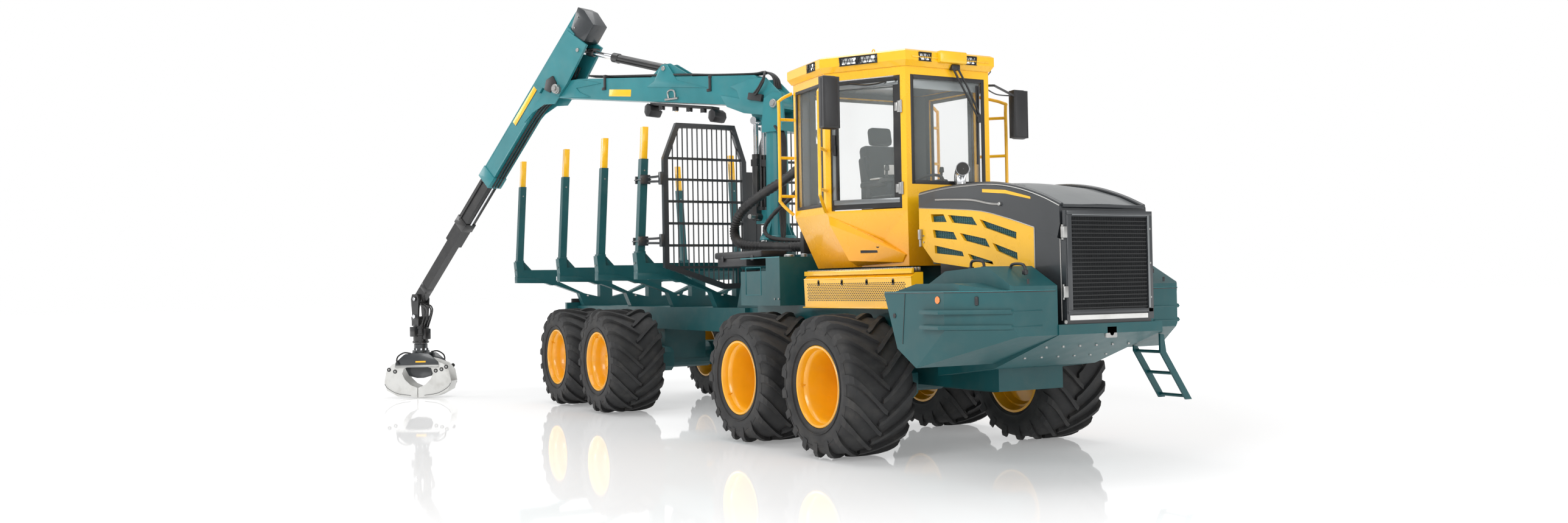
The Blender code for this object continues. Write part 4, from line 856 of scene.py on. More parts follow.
@dataclass
class Studio:
    """The camera, the pale floor and the soft light round the machine."""

    camera_place: Point = (13.784, -6.6153, 1.570)
    yaw: float = math.radians(60.34)
    pitch: float = math.radians(1.046)
    roll: float = math.radians(-1.001)
    lens: float = 29.67
    floor_reach: float = 120.0
    surrounding: float = 0.60
    lights: list[SoftLight] = field(default_factory=lambda: [
        SoftLight("key_light", (11.0, -13.0, 10.0), (0.5, 0.0, 1.5), 1150.0, 7.0),
        SoftLight("front_light", (17.0, 2.0, 6.0), (2.0, 0.5, 1.5), 420.0, 6.0),
        SoftLight("top_light", (-1.0, 0.0, 13.0), (0.0, 0.0, 0.0), 900.0, 12.0),
        SoftLight("rear_light", (-12.0, -9.0, 7.0), (-2.0, 0.0, 1.5), 450.0, 6.0),
    ])

    def make(self) -> None:
        """Sets up camera, floor, lamps and surrounding light."""
        bpy.context.scene.view_settings.view_transform = 'Standard'
        self._camera()
        self._floor()
        for light in self.lights:
            light.make()
        world = bpy.data.worlds.new("soft_white")
        bpy.context.scene.world = world
        world.use_nodes = True
        nodes, links = world.node_tree.nodes, world.node_tree.links
        background = nodes["Background"]
        background.inputs["Color"].default_value = (1, 1, 1, 1)
        path, strength = nodes.new("ShaderNodeLightPath"), nodes.new("ShaderNodeMapRange")
        links.new(path.outputs["Is Camera Ray"], strength.inputs["Value"])
        strength.inputs["To Min"].default_value = self.surrounding
        strength.inputs["To Max"].default_value = 1.0
        links.new(strength.outputs["Result"], background.inputs["Strength"])

    def _camera(self) -> None:
        """Places the camera."""
        lens = bpy.data.cameras.new("camera")
        lens.lens = self.lens
        lens.sensor_width = 36.0
        lens.clip_end = 500.0
        camera = bpy.data.objects.new("camera", lens)
        bpy.context.scene.collection.objects.link(camera)
        a, e, r = self.yaw, self.pitch, self.roll
        ahead = Vector((-math.sin(a) * math.cos(e), math.cos(a) * math.cos(e), math.sin(e)))
        right = Vector((math.cos(a), math.sin(a), 0))
        up = right.cross(ahead)
        right_rolled = right * math.cos(r) + up * math.sin(r)
        up_rolled = up * math.cos(r) - right * math.sin(r)
        turn = Matrix((right_rolled, up_rolled, -ahead)).transposed().to_4x4()
        camera.matrix_world = Matrix.Translation(self.camera_place) @ turn
        bpy.context.scene.camera = camera

    def _floor(self) -> None:
        """Lays a pale floor with a faint polish."""
        reach = self.floor_reach
        mesh = bpy.data.meshes.new("floor")
        mesh.from_pydata([(-reach, -reach, 0), (reach, -reach, 0), (reach, reach, 0),
                          (-reach, reach, 0)], [], [(0, 1, 2, 3)])
        made = bpy.data.materials.new("polished_floor")
        made.use_nodes = True
        shader = made.node_tree.nodes["Principled BSDF"]
        shader.inputs["Base Color"].default_value = (0.93, 0.93, 0.93, 1)
        shader.inputs["Roughness"].default_value = 0.035
        shader.inputs["IOR"].default_value = 2.4
        shader.inputs["Emission Color"].default_value = (1, 1, 1, 1)
        nodes, links = made.node_tree.nodes, made.node_tree.links
        far, fade = nodes.new("ShaderNodeVectorMath"), nodes.new("ShaderNodeMapRange")
        far.operation = 'LENGTH'
        links.new(nodes.new("ShaderNodeTexCoord").outputs["Object"], far.inputs[0])
        links.new(far.outputs["Value"], fade.inputs["Value"])
        for name, value in (("From Min", 6.0), ("From Max", 22.0), ("To Min", 0.24),
                            ("To Max", 1.0)):
            fade.inputs[name].default_value = value
        links.new(fade.outputs["Result"], shader.inputs["Emission Strength"])
        mesh.materials.append(made)
        floor = bpy.data.objects.new("floor", mesh)
        bpy.context.scene.collection.objects.link(floor)
        floor.location.z = -0.004


# ------------------------------------------------------------------ wheels
@dataclass(frozen=True)
class Wheel:
    """A lugged forestry tyre on a dished rim, about the Y axis with y outwards."""

    axle_height: float = 0.6494
    middle: float = 1.121
    half_width: float = 0.350
    carcass: float = 0.612
    lug_tip: float = 0.652
    rim_radius: float = 0.357
    lugs: int = 18
    bolts: int = 16

    def tyre(self, side: int) -> Mesh:
        """The tyre with its lugs.

        Args:
            side: 1 on the machine's left, -1 on its right; not used.

        Returns:
            The mesh about its own axle, with the outer side towards +Y.
        """
        w, r = self.half_width, self.carcass
        bead = self.rim_radius + 0.008
        wall = [(bead, w - 0.055), (bead + 0.012, w - 0.028), (bead + 0.035, w - 0.016),
                (bead + 0.055, w - 0.018), (0.46, w - 0.004), (0.51, w), (0.555, w - 0.008),
                (0.585, w - 0.030), (0.602, w - 0.065), (r, w - 0.13)]
        profile = wall + [(r + 0.004, 0.0)] + [(radius, -y) for radius, y in reversed(wall)]
        form = Form().lathe(profile, 96)
        for half, phase in ((1, 0.0), (-1, math.pi / self.lugs)):
            form.join(Repeats.ring(self._lug(half), self.lugs, phase))
        for radius, y in ((0.425, w - 0.008), (0.535, w - 0.003)):
            form.lathe([(radius - 0.006, y - 0.01), (radius - 0.003, y + 0.003),
                        (radius + 0.003, y + 0.003), (radius + 0.006, y - 0.01)], 96)
        mesh = bpy.data.meshes.new("tyre")
        form.cage.to_mesh(mesh)
        form.cage.free()
        return mesh

    def _lug(self, half: int) -> Form:
        """One bar of the tread, from the middle to the shoulder and down the side wall."""
        w = self.half_width
        stations = [  # share of the turn, y, foot radius, tip radius, half thickness
            (-0.055, -0.030, 0.60, self.lug_tip - 0.004, 0.020),
            (0.00, 0.020, 0.60, self.lug_tip, 0.023),
            (0.13, 0.110, 0.60, self.lug_tip, 0.023),
            (0.26, 0.200, 0.60, self.lug_tip - 0.001, 0.025),
            (0.36, 0.270, 0.592, self.lug_tip - 0.006, 0.028),
            (0.425, 0.322, 0.575, self.lug_tip - 0.020, 0.031),
            (0.46, w + 0.001, 0.535, 0.595, 0.033),
            (0.475, w + 0.004, 0.505, 0.545, 0.028),
        ]
        corners, faces = [], []
        for turn, y, foot, tip, thick in stations:
            for radius, wide in ((foot, thick * 1.25), (tip, thick), (tip, -thick),
                                 (foot, -thick * 1.25)):
                angle = turn + wide / radius
                corners.append((radius * math.cos(angle), half * y, radius * math.sin(angle)))
        for i in range(len(stations) - 1):
            for j in range(4):
                k = (j + 1) % 4
                faces.append((4 * i + j, 4 * i + k, 4 * i + 4 + k, 4 * i + 4 + j))
        last = 4 * (len(stations) - 1)
        faces += [(0, 1, 2, 3), (last, last + 1, last + 2, last + 3)]
        form = Form()
        form.solid(corners, faces)
        return form

    def rim(self, disc: float) -> Mesh:
        """The dished rim with its hub and nuts.

        Args:
            disc: the disc's outer face, outwards from the tyre's middle.

        Returns:
            The mesh about its own axle.
        """
        w = self.half_width
        profile = [(0, disc + 0.085), (0.045, disc + 0.085), (0.055, disc + 0.070),
                   (0.115, disc + 0.066), (0.130, disc + 0.055), (0.135, disc + 0.004),
                   (0.235, disc), (0.262, disc + 0.006), (0.285, disc + 0.030),
                   (0.298, disc + 0.075), (0.306, w - 0.13), (0.318, w - 0.10), (0.334, w - 0.085),
                   (0.340, w - 0.050), (0.350, w - 0.030), (0.366, w - 0.026), (0.372, w - 0.032),
                   (0.370, w - 0.045), (0.352, w - 0.055), (0.345, w - 0.10), (0.330, w - 0.15),
                   (0.330, -w + 0.15), (0.352, -w + 0.055), (0.370, -w + 0.045),
                   (0.372, -w + 0.032), (0.350, -w + 0.030), (0.315, -w + 0.12),
                   (0.300, disc - 0.08), (0.270, disc - 0.025), (0, disc - 0.025)]
        form = Form().lathe(profile, 72)
        nut = Form().rod((0.200, disc - 0.01, 0), (0.200, disc + 0.024, 0), 0.0135, sides=6)
        nut.rod((0.200, disc + 0.020, 0), (0.200, disc + 0.036, 0), 0.008, sides=8)
        form.join(Repeats.ring(nut, self.bolts))
        rivet = Form().rod((0.090, disc + 0.05, 0), (0.090, disc + 0.076, 0), 0.009, sides=6)
        form.join(Repeats.ring(rivet, 8))
        for turn in (0.3, 0.3 + math.pi):
            spot = Vector((0.322 * math.cos(turn), w - 0.10, 0.322 * math.sin(turn)))
            form.rod(spot, spot + Vector((0, 0.05, 0)), 0.006, sides=8)
        mesh = bpy.data.meshes.new("rim")
        form.cage.to_mesh(mesh)
        form.cage.free()
        return mesh

    def dress(self, palette: Palette) -> None:
        """Makes all eight wheels in place of the frame's plain ones.

        Args:
            palette: the finishes.
        """
        ends = (("front", 0.0, 0.766, 0.97), ("rear", -5.346, 0.750, 1.22))
        for end_name, bogie_x, gap, disc in ends:
            tyre, rim = self.tyre(1), self.rim(disc - self.middle)
            for side_name, side in SIDES:
                for place, x in (("leading", bogie_x + gap), ("trailing", bogie_x - gap)):
                    node = f"{end_name}_{place}_wheel_{side_name}"
                    roll = Matrix.Rotation(0.37 * x, 4, 'Y')
                    put = (Matrix.Translation((x, side * self.middle,
                                               self.axle_height)) @ Matrix.Scale(side, 4,
                                                                                 (0, 1, 0)) @ roll)
                    for mesh, part, finish in ((tyre, "tyre", palette.rubber),
                                               (rim, "rim", palette.rim)):
                        form = Form()
                        form.join(mesh, put, keep=True)
                        slot = "tyre" if part == "tyre" else "yellow_paint"
                        made = form.piece(f"{end_name}_{place}_{part}_{side_name}", finish, node,
                                          slot, smooth=32.0)
                        if part == "tyre":
                            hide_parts(node)
            bpy.data.meshes.remove(tyre)
            bpy.data.meshes.remove(rim)


# ------------------------------------------------------------------ frame nodes
@dataclass(frozen=True)
class FrameNodes:
    """Finishes of the frame's own solids that stay in view."""

    palette: Palette

    def paint(self, nodes: dict[str, Object]) -> None:
        """Gives each solid its finish.

        Args:
            nodes: the frame's solids by name.
        """
        finishes = {
            "teal": ("front_bogie_", "rear_bogie_", "front_frame", "front_box_", "hydraulic_tank",
                     "fuel_tank",
                     "rear_frame", "bunk_", "crane_base", "ladder"),
            "crane": ("crane_pillar", "crane_boom", "crane_stick"),
            "yellow": ("running_board_", "cab_roof", "engine_panel_"),
            # the cab shell's finish carries painted shade, darker and more orange towards the
            # bottom
            "cab": ("cab_shell",),
            "charcoal": ("hood", "headboard", "grille_door", "grapple_crown", "engine_block"),
            "black": ("cab_door", "crane_extension_", "tip_link", "lift_cylinder_barrels",
                      "stick_cylinder_barrel"),
            "chrome": ("lift_cylinder_rods", "stick_cylinder_rod", "exhaust_pipe"),
            "white": ("grapple_jaw_",),
            "plastic": ("steering_column", "mirror_"),
            "glass": ("windshield", "rear_window"),
            "cloth": ("seat",),
        }
        for finish_name, prefixes in finishes.items():
            finish = getattr(self.palette, finish_name)
            for name, solid in nodes.items():
                if name.startswith(prefixes) and "wheel" not in name:
                    solid.data.materials.clear()
                    solid.data.materials.append(finish)


# ------------------------------------------------------------------ hood and front
@dataclass(frozen=True)
class HoodDress:
    """The hood's crowned top, edge rails and strips, a painted highlight line along the rails,
    handle bars and vent screens.
    """

    line: tuple[tuple[float, float], ...] = ((1.03, 2.376), (1.384, 2.402), (1.741, 2.405),
                                             (2.078, 2.393), (2.397, 2.342), (2.699, 2.254),
                                             (2.93, 2.160))
    panel_line: tuple[tuple[float, float], ...] = ((1.03, 2.262), (1.50, 2.225), (1.944, 2.181),
                                                   (2.30, 2.10), (2.629, 2.008))

    def dress(self, palette: Palette) -> None:
        """Adds the pieces, in the palette's finishes."""
        top_rows = []
        for x, z in self.line:
            top_rows.append([(x, y, z + 0.005 + 0.020 * (1 - (y / 0.415) ** 2)) for y in (-0.415,
                                                                                          -0.33,
                                                                                          -0.2,
                                                                                          -0.07,
                                                                                          0.07, 0.2,
                                                                                          0.33,
                                                                                          0.415)])
        top = Form().skin([row[::-1] for row in top_rows], 0.004)
        top.piece("hood_top_sheet", palette.silver, "hood", "charcoal_paint")
        rails = Form()
        for side in (1, -1):
            rails.tube([(x, side * 0.445, z + 0.010) for x, z in self.line], 0.020, sides=10,
                       steps=4)
        rails.tube([(2.925, y, 2.162) for y in (-0.44, 0.0, 0.44)], 0.018, sides=10, steps=2)
        rails.piece("hood_edge_rails", palette.charcoal, "hood", "charcoal_paint")
        bright = Form()
        for side in (1, -1):
            # painted highlight: a thin steel line along each edge rail stands in for the light
            # caught on the rail's edge
            bright.tube([(x, side * 0.468, z + 0.004) for x, z in self.line], 0.0045, sides=6,
                        steps=4)
            # the chrome handle bar on each side, with its knob
            bright.tube([(1.295, side * 0.474, 2.317), (1.55, side * 0.482, 2.303),
                         (1.828, side * 0.482, 2.281), (2.08, side * 0.482, 2.234),
                         (2.20, side * 0.474, 2.222)], 0.009, sides=8)
            bright.rod((2.20, side * 0.46, 2.222), (2.20, side * 0.487, 2.222), 0.017, sides=12,
                       bevel=0.004)
        bright.piece("hood_bright_lines", palette.steel, "hood", "polished_steel")
        stripe = Form()
        for side in (1, -1):
            stripe.skin([[(1.963, side * 0.4712, 2.338), (2.27, side * 0.4712, 2.306),
                          (2.588, side * 0.4712, 2.240)], [(1.963, side * 0.4712, 2.366),
                                                           (2.27, side * 0.4712, 2.336),
                                                           (2.588, side * 0.4712,
                                                            2.258)] ][::-side], 0.001)
        stripe.piece("hood_stripes", palette.yellow, "hood", "yellow_paint")
        mouth = Form().tube([(0.955, 0.07, 2.40), (0.955, 0.068, 2.53), (0.968, 0.064, 2.595),
                             (0.995, 0.055, 2.625), (1.025, 0.040, 2.633)], 0.056, sides=24)
        mouth.rod((1.015, 0.046, 2.632), (1.055, 0.025, 2.635), 0.057, 0.066, sides=32)
        mouth.piece("exhaust_mouth", palette.chrome, "front", "polished_steel")
        bore = Form().rod((1.045, 0.030, 2.634), (1.0565, 0.024, 2.635), 0.0595, sides=32)
        bore.piece("exhaust_bore", palette.black, "front", "black_steel")
        self._panels(palette)

    def _panels(self, palette: Palette) -> None:
        """Vent screens behind the yellow panels and the bright strip round them."""
        for side_name, side in SIDES:
            screen = Form()
            low, high = span(side, 0.436, 0.440)
            screen.box((1.20, low, 1.74), (2.50, high, 2.17))
            lattice = Form().box((-0.0085, -0.002, -0.0085), (0.0085, 0.002, 0.0085),
                                 turn=Matrix.Rotation(math.radians(45), 3, 'Y'))
            screen.join(Repeats.grid(lattice, (1.21, side * 0.4425, 1.76), (0.026, 0, 0), 49,
                                     (0.0, 0, 0.026), 16))
            screen.piece(f"vent_screen_{side_name}", palette.teal, "front", "teal_paint")
            trim = Form().tube([(x, side * 0.4715, z - 0.004) for x, z in self.panel_line], 0.0035,
                               sides=6, steps=3)
            trim.tube([(2.6285, side * 0.4715, 2.003), (2.6285, side * 0.4715, 1.545)], 0.0045,
                      sides=6, steps=1)
            trim.tube([(2.935, side * 0.4715, 1.90), (2.940, side * 0.4715, 1.25)], 0.0045, sides=6,
                      steps=1)
            trim.piece(f"panel_trim_{side_name}", palette.steel, "front", "polished_steel")
            bolts = Form()
            head = Form().rod((0, -side * 0.002, 0), (0, side * 0.006, 0), 0.008, sides=6)
            bolts.join(Repeats.grid(head, (1.10, side * 0.47, 2.00), (0.0, 0, -0.06), 2))
            low, high = span(side, 0.472, 0.502)
            bolts.box((1.045, low, 1.965), (1.085, high, 2.06), 0.006)
            low, high = span(side, 0.472, 0.492)
            bolts.box((1.05, low, 1.90), (1.075, high, 1.97), 0.004)
            bolts.piece(f"panel_latch_{side_name}", palette.steel, "front", "polished_steel")


@dataclass(frozen=True)
class GrilleDress:
    """The radiator's screen of fine slats in its frame."""

    low: float = 1.335
    high: float = 2.082
    half: float = 0.405

    def dress(self, palette: Palette) -> None:
        """Adds the pieces, in the palette's finishes."""
        screen = Form()
        slat = Form().box((0, -self.half, -0.0045), (0.009, self.half, 0.0045))
        rows = 22
        screen.join(Repeats.grid(slat, (2.9865, 0, self.low + 0.012),
                                 (0, 0, (self.high - self.low - 0.02) / rows), rows))
        fin = Form().box((0, -0.0012, self.low), (0.005, 0.0012, self.high))
        columns = 80
        screen.join(Repeats.grid(fin, (2.9852, -self.half + 0.005, 0),
                                 (0, 2 * self.half / columns, 0), columns))
        screen.piece("radiator_screen", palette.mesh_wire, "grille_door", "teal_paint")
        frame = Form()
        edge = 0.46
        frame.box((2.9965, -edge, 2.09), (3.003, edge, 2.122), 0.002)
        frame.box((2.9965, self.half + 0.004, 1.30), (3.003, edge, 2.09), 0.002)
        frame.box((2.9965, -edge, 1.30), (3.003, edge, self.low - 0.004), 0.002)
        frame.piece("radiator_frame_front", palette.charcoal, "grille_door", "teal_paint")
        edging = Form().box((3.0025, self.half + 0.006, self.low),
                            (3.0065, self.half + 0.026, 2.088), 0.0015)
        edging.box((3.0025, -self.half, 2.086), (3.0055, self.half + 0.026, 2.092), 0.001)
        edging.piece("radiator_edging", palette.silver, "grille_door", "teal_paint")
        left = Form().box((2.9965, -edge, self.low), (3.002, -self.half - 0.004, 2.088), 0.002)
        left.piece("radiator_frame_side", palette.charcoal, "grille_door", "teal_paint")
        plate = Form().box((2.9965, -0.44, 1.252), (3.002, 0.40, 1.290), 0.0015)
        plate.piece("blank_front_plate", palette.white, "grille_door", "worn_steel")
        small = Form()
        knob = Form().rod((0, 0, 0), (0.006, 0, 0), 0.008, sides=12)
        small.join(Repeats.grid(knob, (3.002, 0.434, 1.42), (0, 0, 0.28), 3))
        small.rod((2.99, -0.485, 1.24), (3.004, -0.485, 1.24), 0.016, sides=14, bevel=0.003)
        for z in (1.95, 1.477):
            small.box((2.979, -0.505, z - 0.045), (3.004, -0.455, z + 0.045), 0.004)
            small.rod((2.981, -0.488, z - 0.06), (2.981, -0.488, z + 0.06), 0.009, sides=12)
        small.piece("grille_hinges", palette.steel, "grille_door", "polished_steel")


@dataclass(frozen=True)
class BoxDress:
    """Handles, seams, painted edge highlights, reflectors and locks of the two front boxes, and the
    belly's bolts.
    """

    def dress(self, palette: Palette) -> None:
        """Adds the pieces, in the palette's finishes."""
        for side_name, side in SIDES:
            nose = 2.99 if side < 0 else 2.75
            handles = Form()
            for x, y, z in ((nose - 0.17, 0.80, 1.665), (nose - 0.78, 0.72, 1.705)):
                handles.tube([(x - 0.10, side * y, z - 0.03), (x - 0.085, side * y, z + 0.035),
                              (x + 0.055, side * y, z + 0.03), (x + 0.075, side * y, z - 0.05)],
                             0.012, sides=10)
                for end in (-0.10, 0.072):
                    handles.box((x + end - 0.02, side * y - 0.018, z - 0.045),
                                (x + end + 0.02, side * y + 0.018, z - 0.008), 0.006)
            handles.piece(f"box_handles_{side_name}", palette.plastic, "front", "black_plastic")
            seam = Form()
            out = 1.3615
            line = [(1.76, out), (nose - 0.41, out), (nose + 0.0012, 1.0005), (nose + 0.0012, 0.58)]
            seam.tube([(x, side * y, 1.488) for x, y in line], 0.004, sides=6, steps=1)
            seam.tube([(2.055, side * out, 1.488), (2.01, side * out, 1.07)], 0.003, sides=6,
                      steps=1)
            seam.piece(f"box_seams_{side_name}", palette.black, "front", "teal_paint")
            # painted highlight: a thin light turquoise line along each box's top edge stands in for
            # the light caught on that edge
            shine = Form().tube([(x, side * (y + (0.002 if n else 0.0)),
                                  1.4945) for n, (x, y) in enumerate(line)], 0.003, sides=6,
                                steps=1)
            shine.piece(f"box_edge_lines_{side_name}", palette.crane, "front", "teal_paint")
            marker = Form().rod((nose - 0.49, side * 1.360, 1.43),
                                (nose - 0.49, side * 1.368, 1.43), 0.030, sides=28, bevel=0.002)
            marker.piece(f"side_reflector_{side_name}", palette.amber, "front", "yellow_paint")
            locks = Form().box((nose - 0.235, side * 1.185 - 0.02, 1.385),
                               (nose - 0.205, side * 1.185 + 0.02, 1.455), 0.008,
                               Matrix.Rotation(-side * math.radians(41), 3, 'Z'))
            locks.rod((1.90, side * 1.355, 1.30), (1.90, side * 1.366, 1.30), 0.022, sides=6,
                      bevel=0.002)
            locks.box((nose - 0.001, side * 0.85 - 0.018, 1.545),
                      (nose + 0.004, side * 0.85 + 0.006, 1.585), 0.002)
            locks.piece(f"box_locks_{side_name}", palette.plastic, "front", "black_plastic")
        belly = Form()
        for x, z in ((2.72, 1.032), (2.45, 0.935)):
            copy = Form().rod((0, 0, 0.006), (0, 0, -0.010), 0.012, sides=6)
            belly.join(Repeats.grid(copy, (x, -0.45, z), (0, 0.18, 0), 6))
        belly.box((2.97, -0.06, 1.10), (3.0, 0.06, 1.20), 0.01)
        belly.rod((2.985, 0, 1.14), (3.0, 0, 1.14), 0.022, sides=16)
        belly.piece("belly_bolts", palette.steel, "front", "polished_steel")


@dataclass(frozen=True)
class BoardDress:
    """Tread strips and the pierced skirts along the cab's sides, whose holes are black patches of
    painted shade.
    """

    def dress(self, palette: Palette) -> None:
        """Adds the pieces, in the palette's finishes."""
        for side_name, side in SIDES:
            tread = Form()
            low, high = span(side, 0.745, 0.832)
            base = Form().box((-0.39, low, 1.668), (1.44, high, 1.678))
            base.piece(f"tread_base_{side_name}", palette.black, "front", "yellow_paint")
            tooth = Form().box((-0.006, -0.012, 0), (0.006, 0.012, 0.034), 0.002)
            tread.join(Repeats.grid(tooth, (-0.375, side * 0.758, 1.676), (0.028, 0, 0), 65,
                                    (0, side * 0.034, 0), 3))
            upstand = Form()
            low, high = span(side, 0.837, 0.866)
            upstand.box((-0.40, low, 1.655), (1.45, high, 1.700), 0.003)
            upstand.piece(f"tread_edge_{side_name}", palette.yellow, "front", "yellow_paint")
            tread.piece(f"tread_strip_{side_name}", palette.steel, "front", "yellow_paint")
            # painted shade: the skirt's holes and slots are flat black patches on its face,
            # standing in for the shade seen through them
            holes = Form()
            lean = 0.01 / 0.275
            for start_x, start_z, rise, rows in ((-0.33, 1.415, 0.0635, 6),
                                                 (-0.313, 1.431, 0.0795, 5)):
                hole = Form().box((-0.0085, -0.0016, -0.0045), (0.0085, 0.0016, 0.0045))
                start = (start_x, side * (0.8605 + rise * lean + 0.0008), start_z)
                holes.join(Repeats.grid(hole, start, (0.034, 0, 0), 50,
                                        (0, side * 0.032 * lean, 0.032), rows))
            slot = Form().rod((0, -0.003, -0.012), (0, 0.003, -0.012), 0.016, sides=14)
            slot.rod((0, -0.003, 0.012), (0, 0.003, 0.012), 0.016, sides=14)
            slot.box((-0.016, -0.003, -0.012), (0.016, 0.003, 0.012))
            holes.join(Repeats.grid(slot, (-0.12, side * 0.8705, 1.585), (0.43, 0, 0), 4))
            holes.piece(f"skirt_holes_{side_name}", palette.black, "front", "yellow_paint")
            lip = Form()
            low, high = span(side, 0.742, 0.884)
            lip.box((-0.41, low, 1.338), (1.46, high, 1.352), 0.004)
            lip.tube([(-0.40, side * 0.868, 1.622), (1.45, side * 0.868, 1.622)], 0.006, sides=8,
                     steps=1)
            lip.piece(f"skirt_lip_{side_name}", palette.yellow, "front", "yellow_paint")


# ------------------------------------------------------------------ cab
FRONT_WALL = ((0.88, -0.49), (0.88, 0.49))
BACK_WALL = ((-0.76, 0.62), (-0.76, -0.62))


def on_wall(start: Point, end: Point) -> Matrix:
    """The frame of a wall of the cab: x along it from its middle, y outwards, z up.

    Args:
        start: one end of the wall in plan.
        end: its other end, with the outside on the right-hand side seen from the start.

    Returns:
        A matrix to the machine's frame.
    """
    first, last = Vector((*start, 0)), Vector((*end, 0))
    along = (last - first).normalized()
    out = Vector((along.y, -along.x, 0))
    middle = (first + last) / 2
    return Matrix(((along.x, out.x, 0, middle.x), (along.y, out.y, 0, middle.y), (0, 0, 1, 0),
                   (0, 0, 0, 1)))


@dataclass(frozen=True)
class CabDress:
    """Glass, seals, rails, lamps, wiper, door fittings and the tool locker's cover."""

    plan: tuple[tuple[float, float], ...] = ((0.88, 0.49), (0.15, 0.93), (-0.60, 0.84),
                                             (-0.76, 0.62))
    roof_low: float = 3.60
    roof_top: float = 3.754
    overhang: float = 0.055
    locker: tuple[tuple[float, float, float], ...] = (
        (0.16, 0.915, 2.235), (0.845, 0.502, 1.835), (0.80, 0.505, 1.765), (0.31, 0.69, 1.74),
        (0.215, 0.935, 2.14),
        (0.33, 0.795, 1.79))

    def wall(self, first: int, second: int, side: int) -> tuple[Matrix, float]:
        """The frame of the wall between two pillars on a side, and half its length."""
        a, b = ((self.plan[i][0], side * self.plan[i][1]) for i in (first, second))
        half = math.hypot(b[0] - a[0], b[1] - a[1]) / 2
        matrix = on_wall(b, a) if side < 0 else on_wall(a, b)
        return matrix, half

    def dress(self, palette: Palette) -> None:
        """Adds the pieces, in the palette's finishes."""
        self._glass(palette)
        self._seals(palette)
        self._rails(palette)
        self._roof(palette)
        self._wiper(palette)
        self._door(palette)
        self._locker(palette)
        self._mirrors(palette)

    def _glass(self, palette: Palette) -> None:
        """Side panes, with the door's own."""
        for side_name, side in SIDES:
            for first, second, low, margin in ((0, 1, 2.35, 0.07), (1, 2, 2.34, 0.075)):
                matrix, half = self.wall(first, second, side)
                is_door = side < 0 and first == 0
                pane = Form()
                if is_door:
                    pane.box((-half + 0.135, -0.024, 2.35), (half - 0.125, -0.018, 3.44))
                else:
                    pane.box((-half + margin, -0.030, low), (half - margin, -0.024, 3.51))
                where = "door" if is_door else ("front" if first == 0 else "rear")
                pane.piece(f"{where}_side_glass_{side_name}", palette.glass,
                           "cab_door" if is_door else "front", "glass", TO_ROW @ matrix)

    def _seals(self, palette: Palette) -> None:
        """Black rubber frames round the fixed panes."""
        seals = Form()

        def ring(matrix: Matrix, left: float, right: float, low: float, high: float, y: float,
                 wide: float) -> None:
            """One frame of four bars on a wall."""
            frame = Form().box((left, y - 0.008, low), (left + wide, y + 0.006, high), 0.003)
            frame.box((right - wide, y - 0.008, low), (right, y + 0.006, high), 0.003)
            frame.box((left + wide, y - 0.008, low), (right - wide, y + 0.006, low + wide), 0.003)
            frame.box((left + wide, y - 0.008, high - wide), (right - wide, y + 0.006, high), 0.003)
            seals.take(frame.cage, matrix)

        for side in (1, -1):
            matrix, half = self.wall(1, 2, side)
            ring(matrix, -half + 0.058, half - 0.058, 2.318, 3.522, -0.002, 0.032)
        matrix, half = self.wall(0, 1, 1)
        ring(matrix, -half + 0.053, half - 0.053, 2.268, 3.522, -0.002, 0.034)
        front = on_wall(*FRONT_WALL)
        ring(front, -0.435, 0.435, 2.495, 3.525, -0.004, 0.036)
        back = on_wall(*BACK_WALL)
        ring(back, -0.545, 0.545, 2.045, 3.525, -0.004, 0.034)
        seals.piece("window_seals", palette.plastic, "front", "black_plastic")
        self._liners(palette)
        visor = Form().box((0.835, -0.42, 3.40), (0.842, 0.42, 3.51), 0.002)
        visor.piece("sun_visor", palette.silver, "front", "black_plastic")

    def _liners(self, palette: Palette) -> None:
        """Dark linings inside the walls and the ceiling."""
        liners = Form()

        def lining(matrix: Matrix, half: float, edge: float, low: float, high: float) -> None:
            """Four strips inside a wall, round its window."""
            inside = Form().box((-half + 0.03, -0.064, 2.28), (-half + edge, -0.058, 3.58))
            inside.box((half - edge, -0.064, 2.28), (half - 0.03, -0.058, 3.58))
            inside.box((-half + 0.03, -0.0635, 2.28), (half - 0.03, -0.0585, max(low, 2.30)))
            inside.box((-half + 0.03, -0.0635, high), (half - 0.03, -0.0585, 3.58))
            liners.take(inside.cage, matrix)

        for side in (1, -1):
            matrix, half = self.wall(1, 2, side)
            lining(matrix, half, 0.085, 2.31, 3.53)
            matrix, half = self.wall(2, 3, side)
            wall = Form().box((-half + 0.01, -0.066, 2.28), (half - 0.01, -0.060, 3.58))
            liners.take(wall.cage, matrix)
        lining(on_wall(*BACK_WALL), 0.62, 0.10, 2.04, 3.53)
        matrix, half = self.wall(0, 1, 1)
        lining(matrix, half, 0.075, 2.26, 3.53)
        liners.prism([(0.78, 0.40), (0.12, 0.80), (-0.54, 0.72), (-0.68, 0.55), (-0.68, -0.55),
                      (-0.54, -0.72), (0.12, -0.80), (0.78, -0.40)], Plane.ACROSS_Z, 3.575, 3.585)
        liners.piece("cab_linings", palette.charcoal, "front", "black_plastic")

    def _rails(self, palette: Palette) -> None:
        """The yellow guard rails that stand off the B and C pillars."""
        rails = Form()
        for side in (1, -1):
            for foot, knee, top_z, low_z in (((0.155, 0.94), (0.36, 1.125), 3.42, 2.30),
                                             ((-0.615, 0.85), (-0.63, 0.995), 3.46, 2.31)):
                x, y = knee
                rails.tube([(foot[0], side * foot[1], top_z + 0.06),
                            (x - 0.01, side * (y - 0.01), top_z - 0.02),
                            (x, side * y, top_z - 0.12), (x, side * y, low_z + 0.20),
                            (x - 0.01, side * (y - 0.01), low_z + 0.10),
                            (foot[0], side * foot[1], low_z - 0.03)], 0.017, sides=10, steps=4)
                for z in (3.25, 2.86, 2.47):
                    rails.rod((x, side * y, z), (foot[0], side * (foot[1] - 0.01), z), 0.016,
                              sides=8)
        rails.piece("guard_rails", palette.yellow, "front", "yellow_paint")

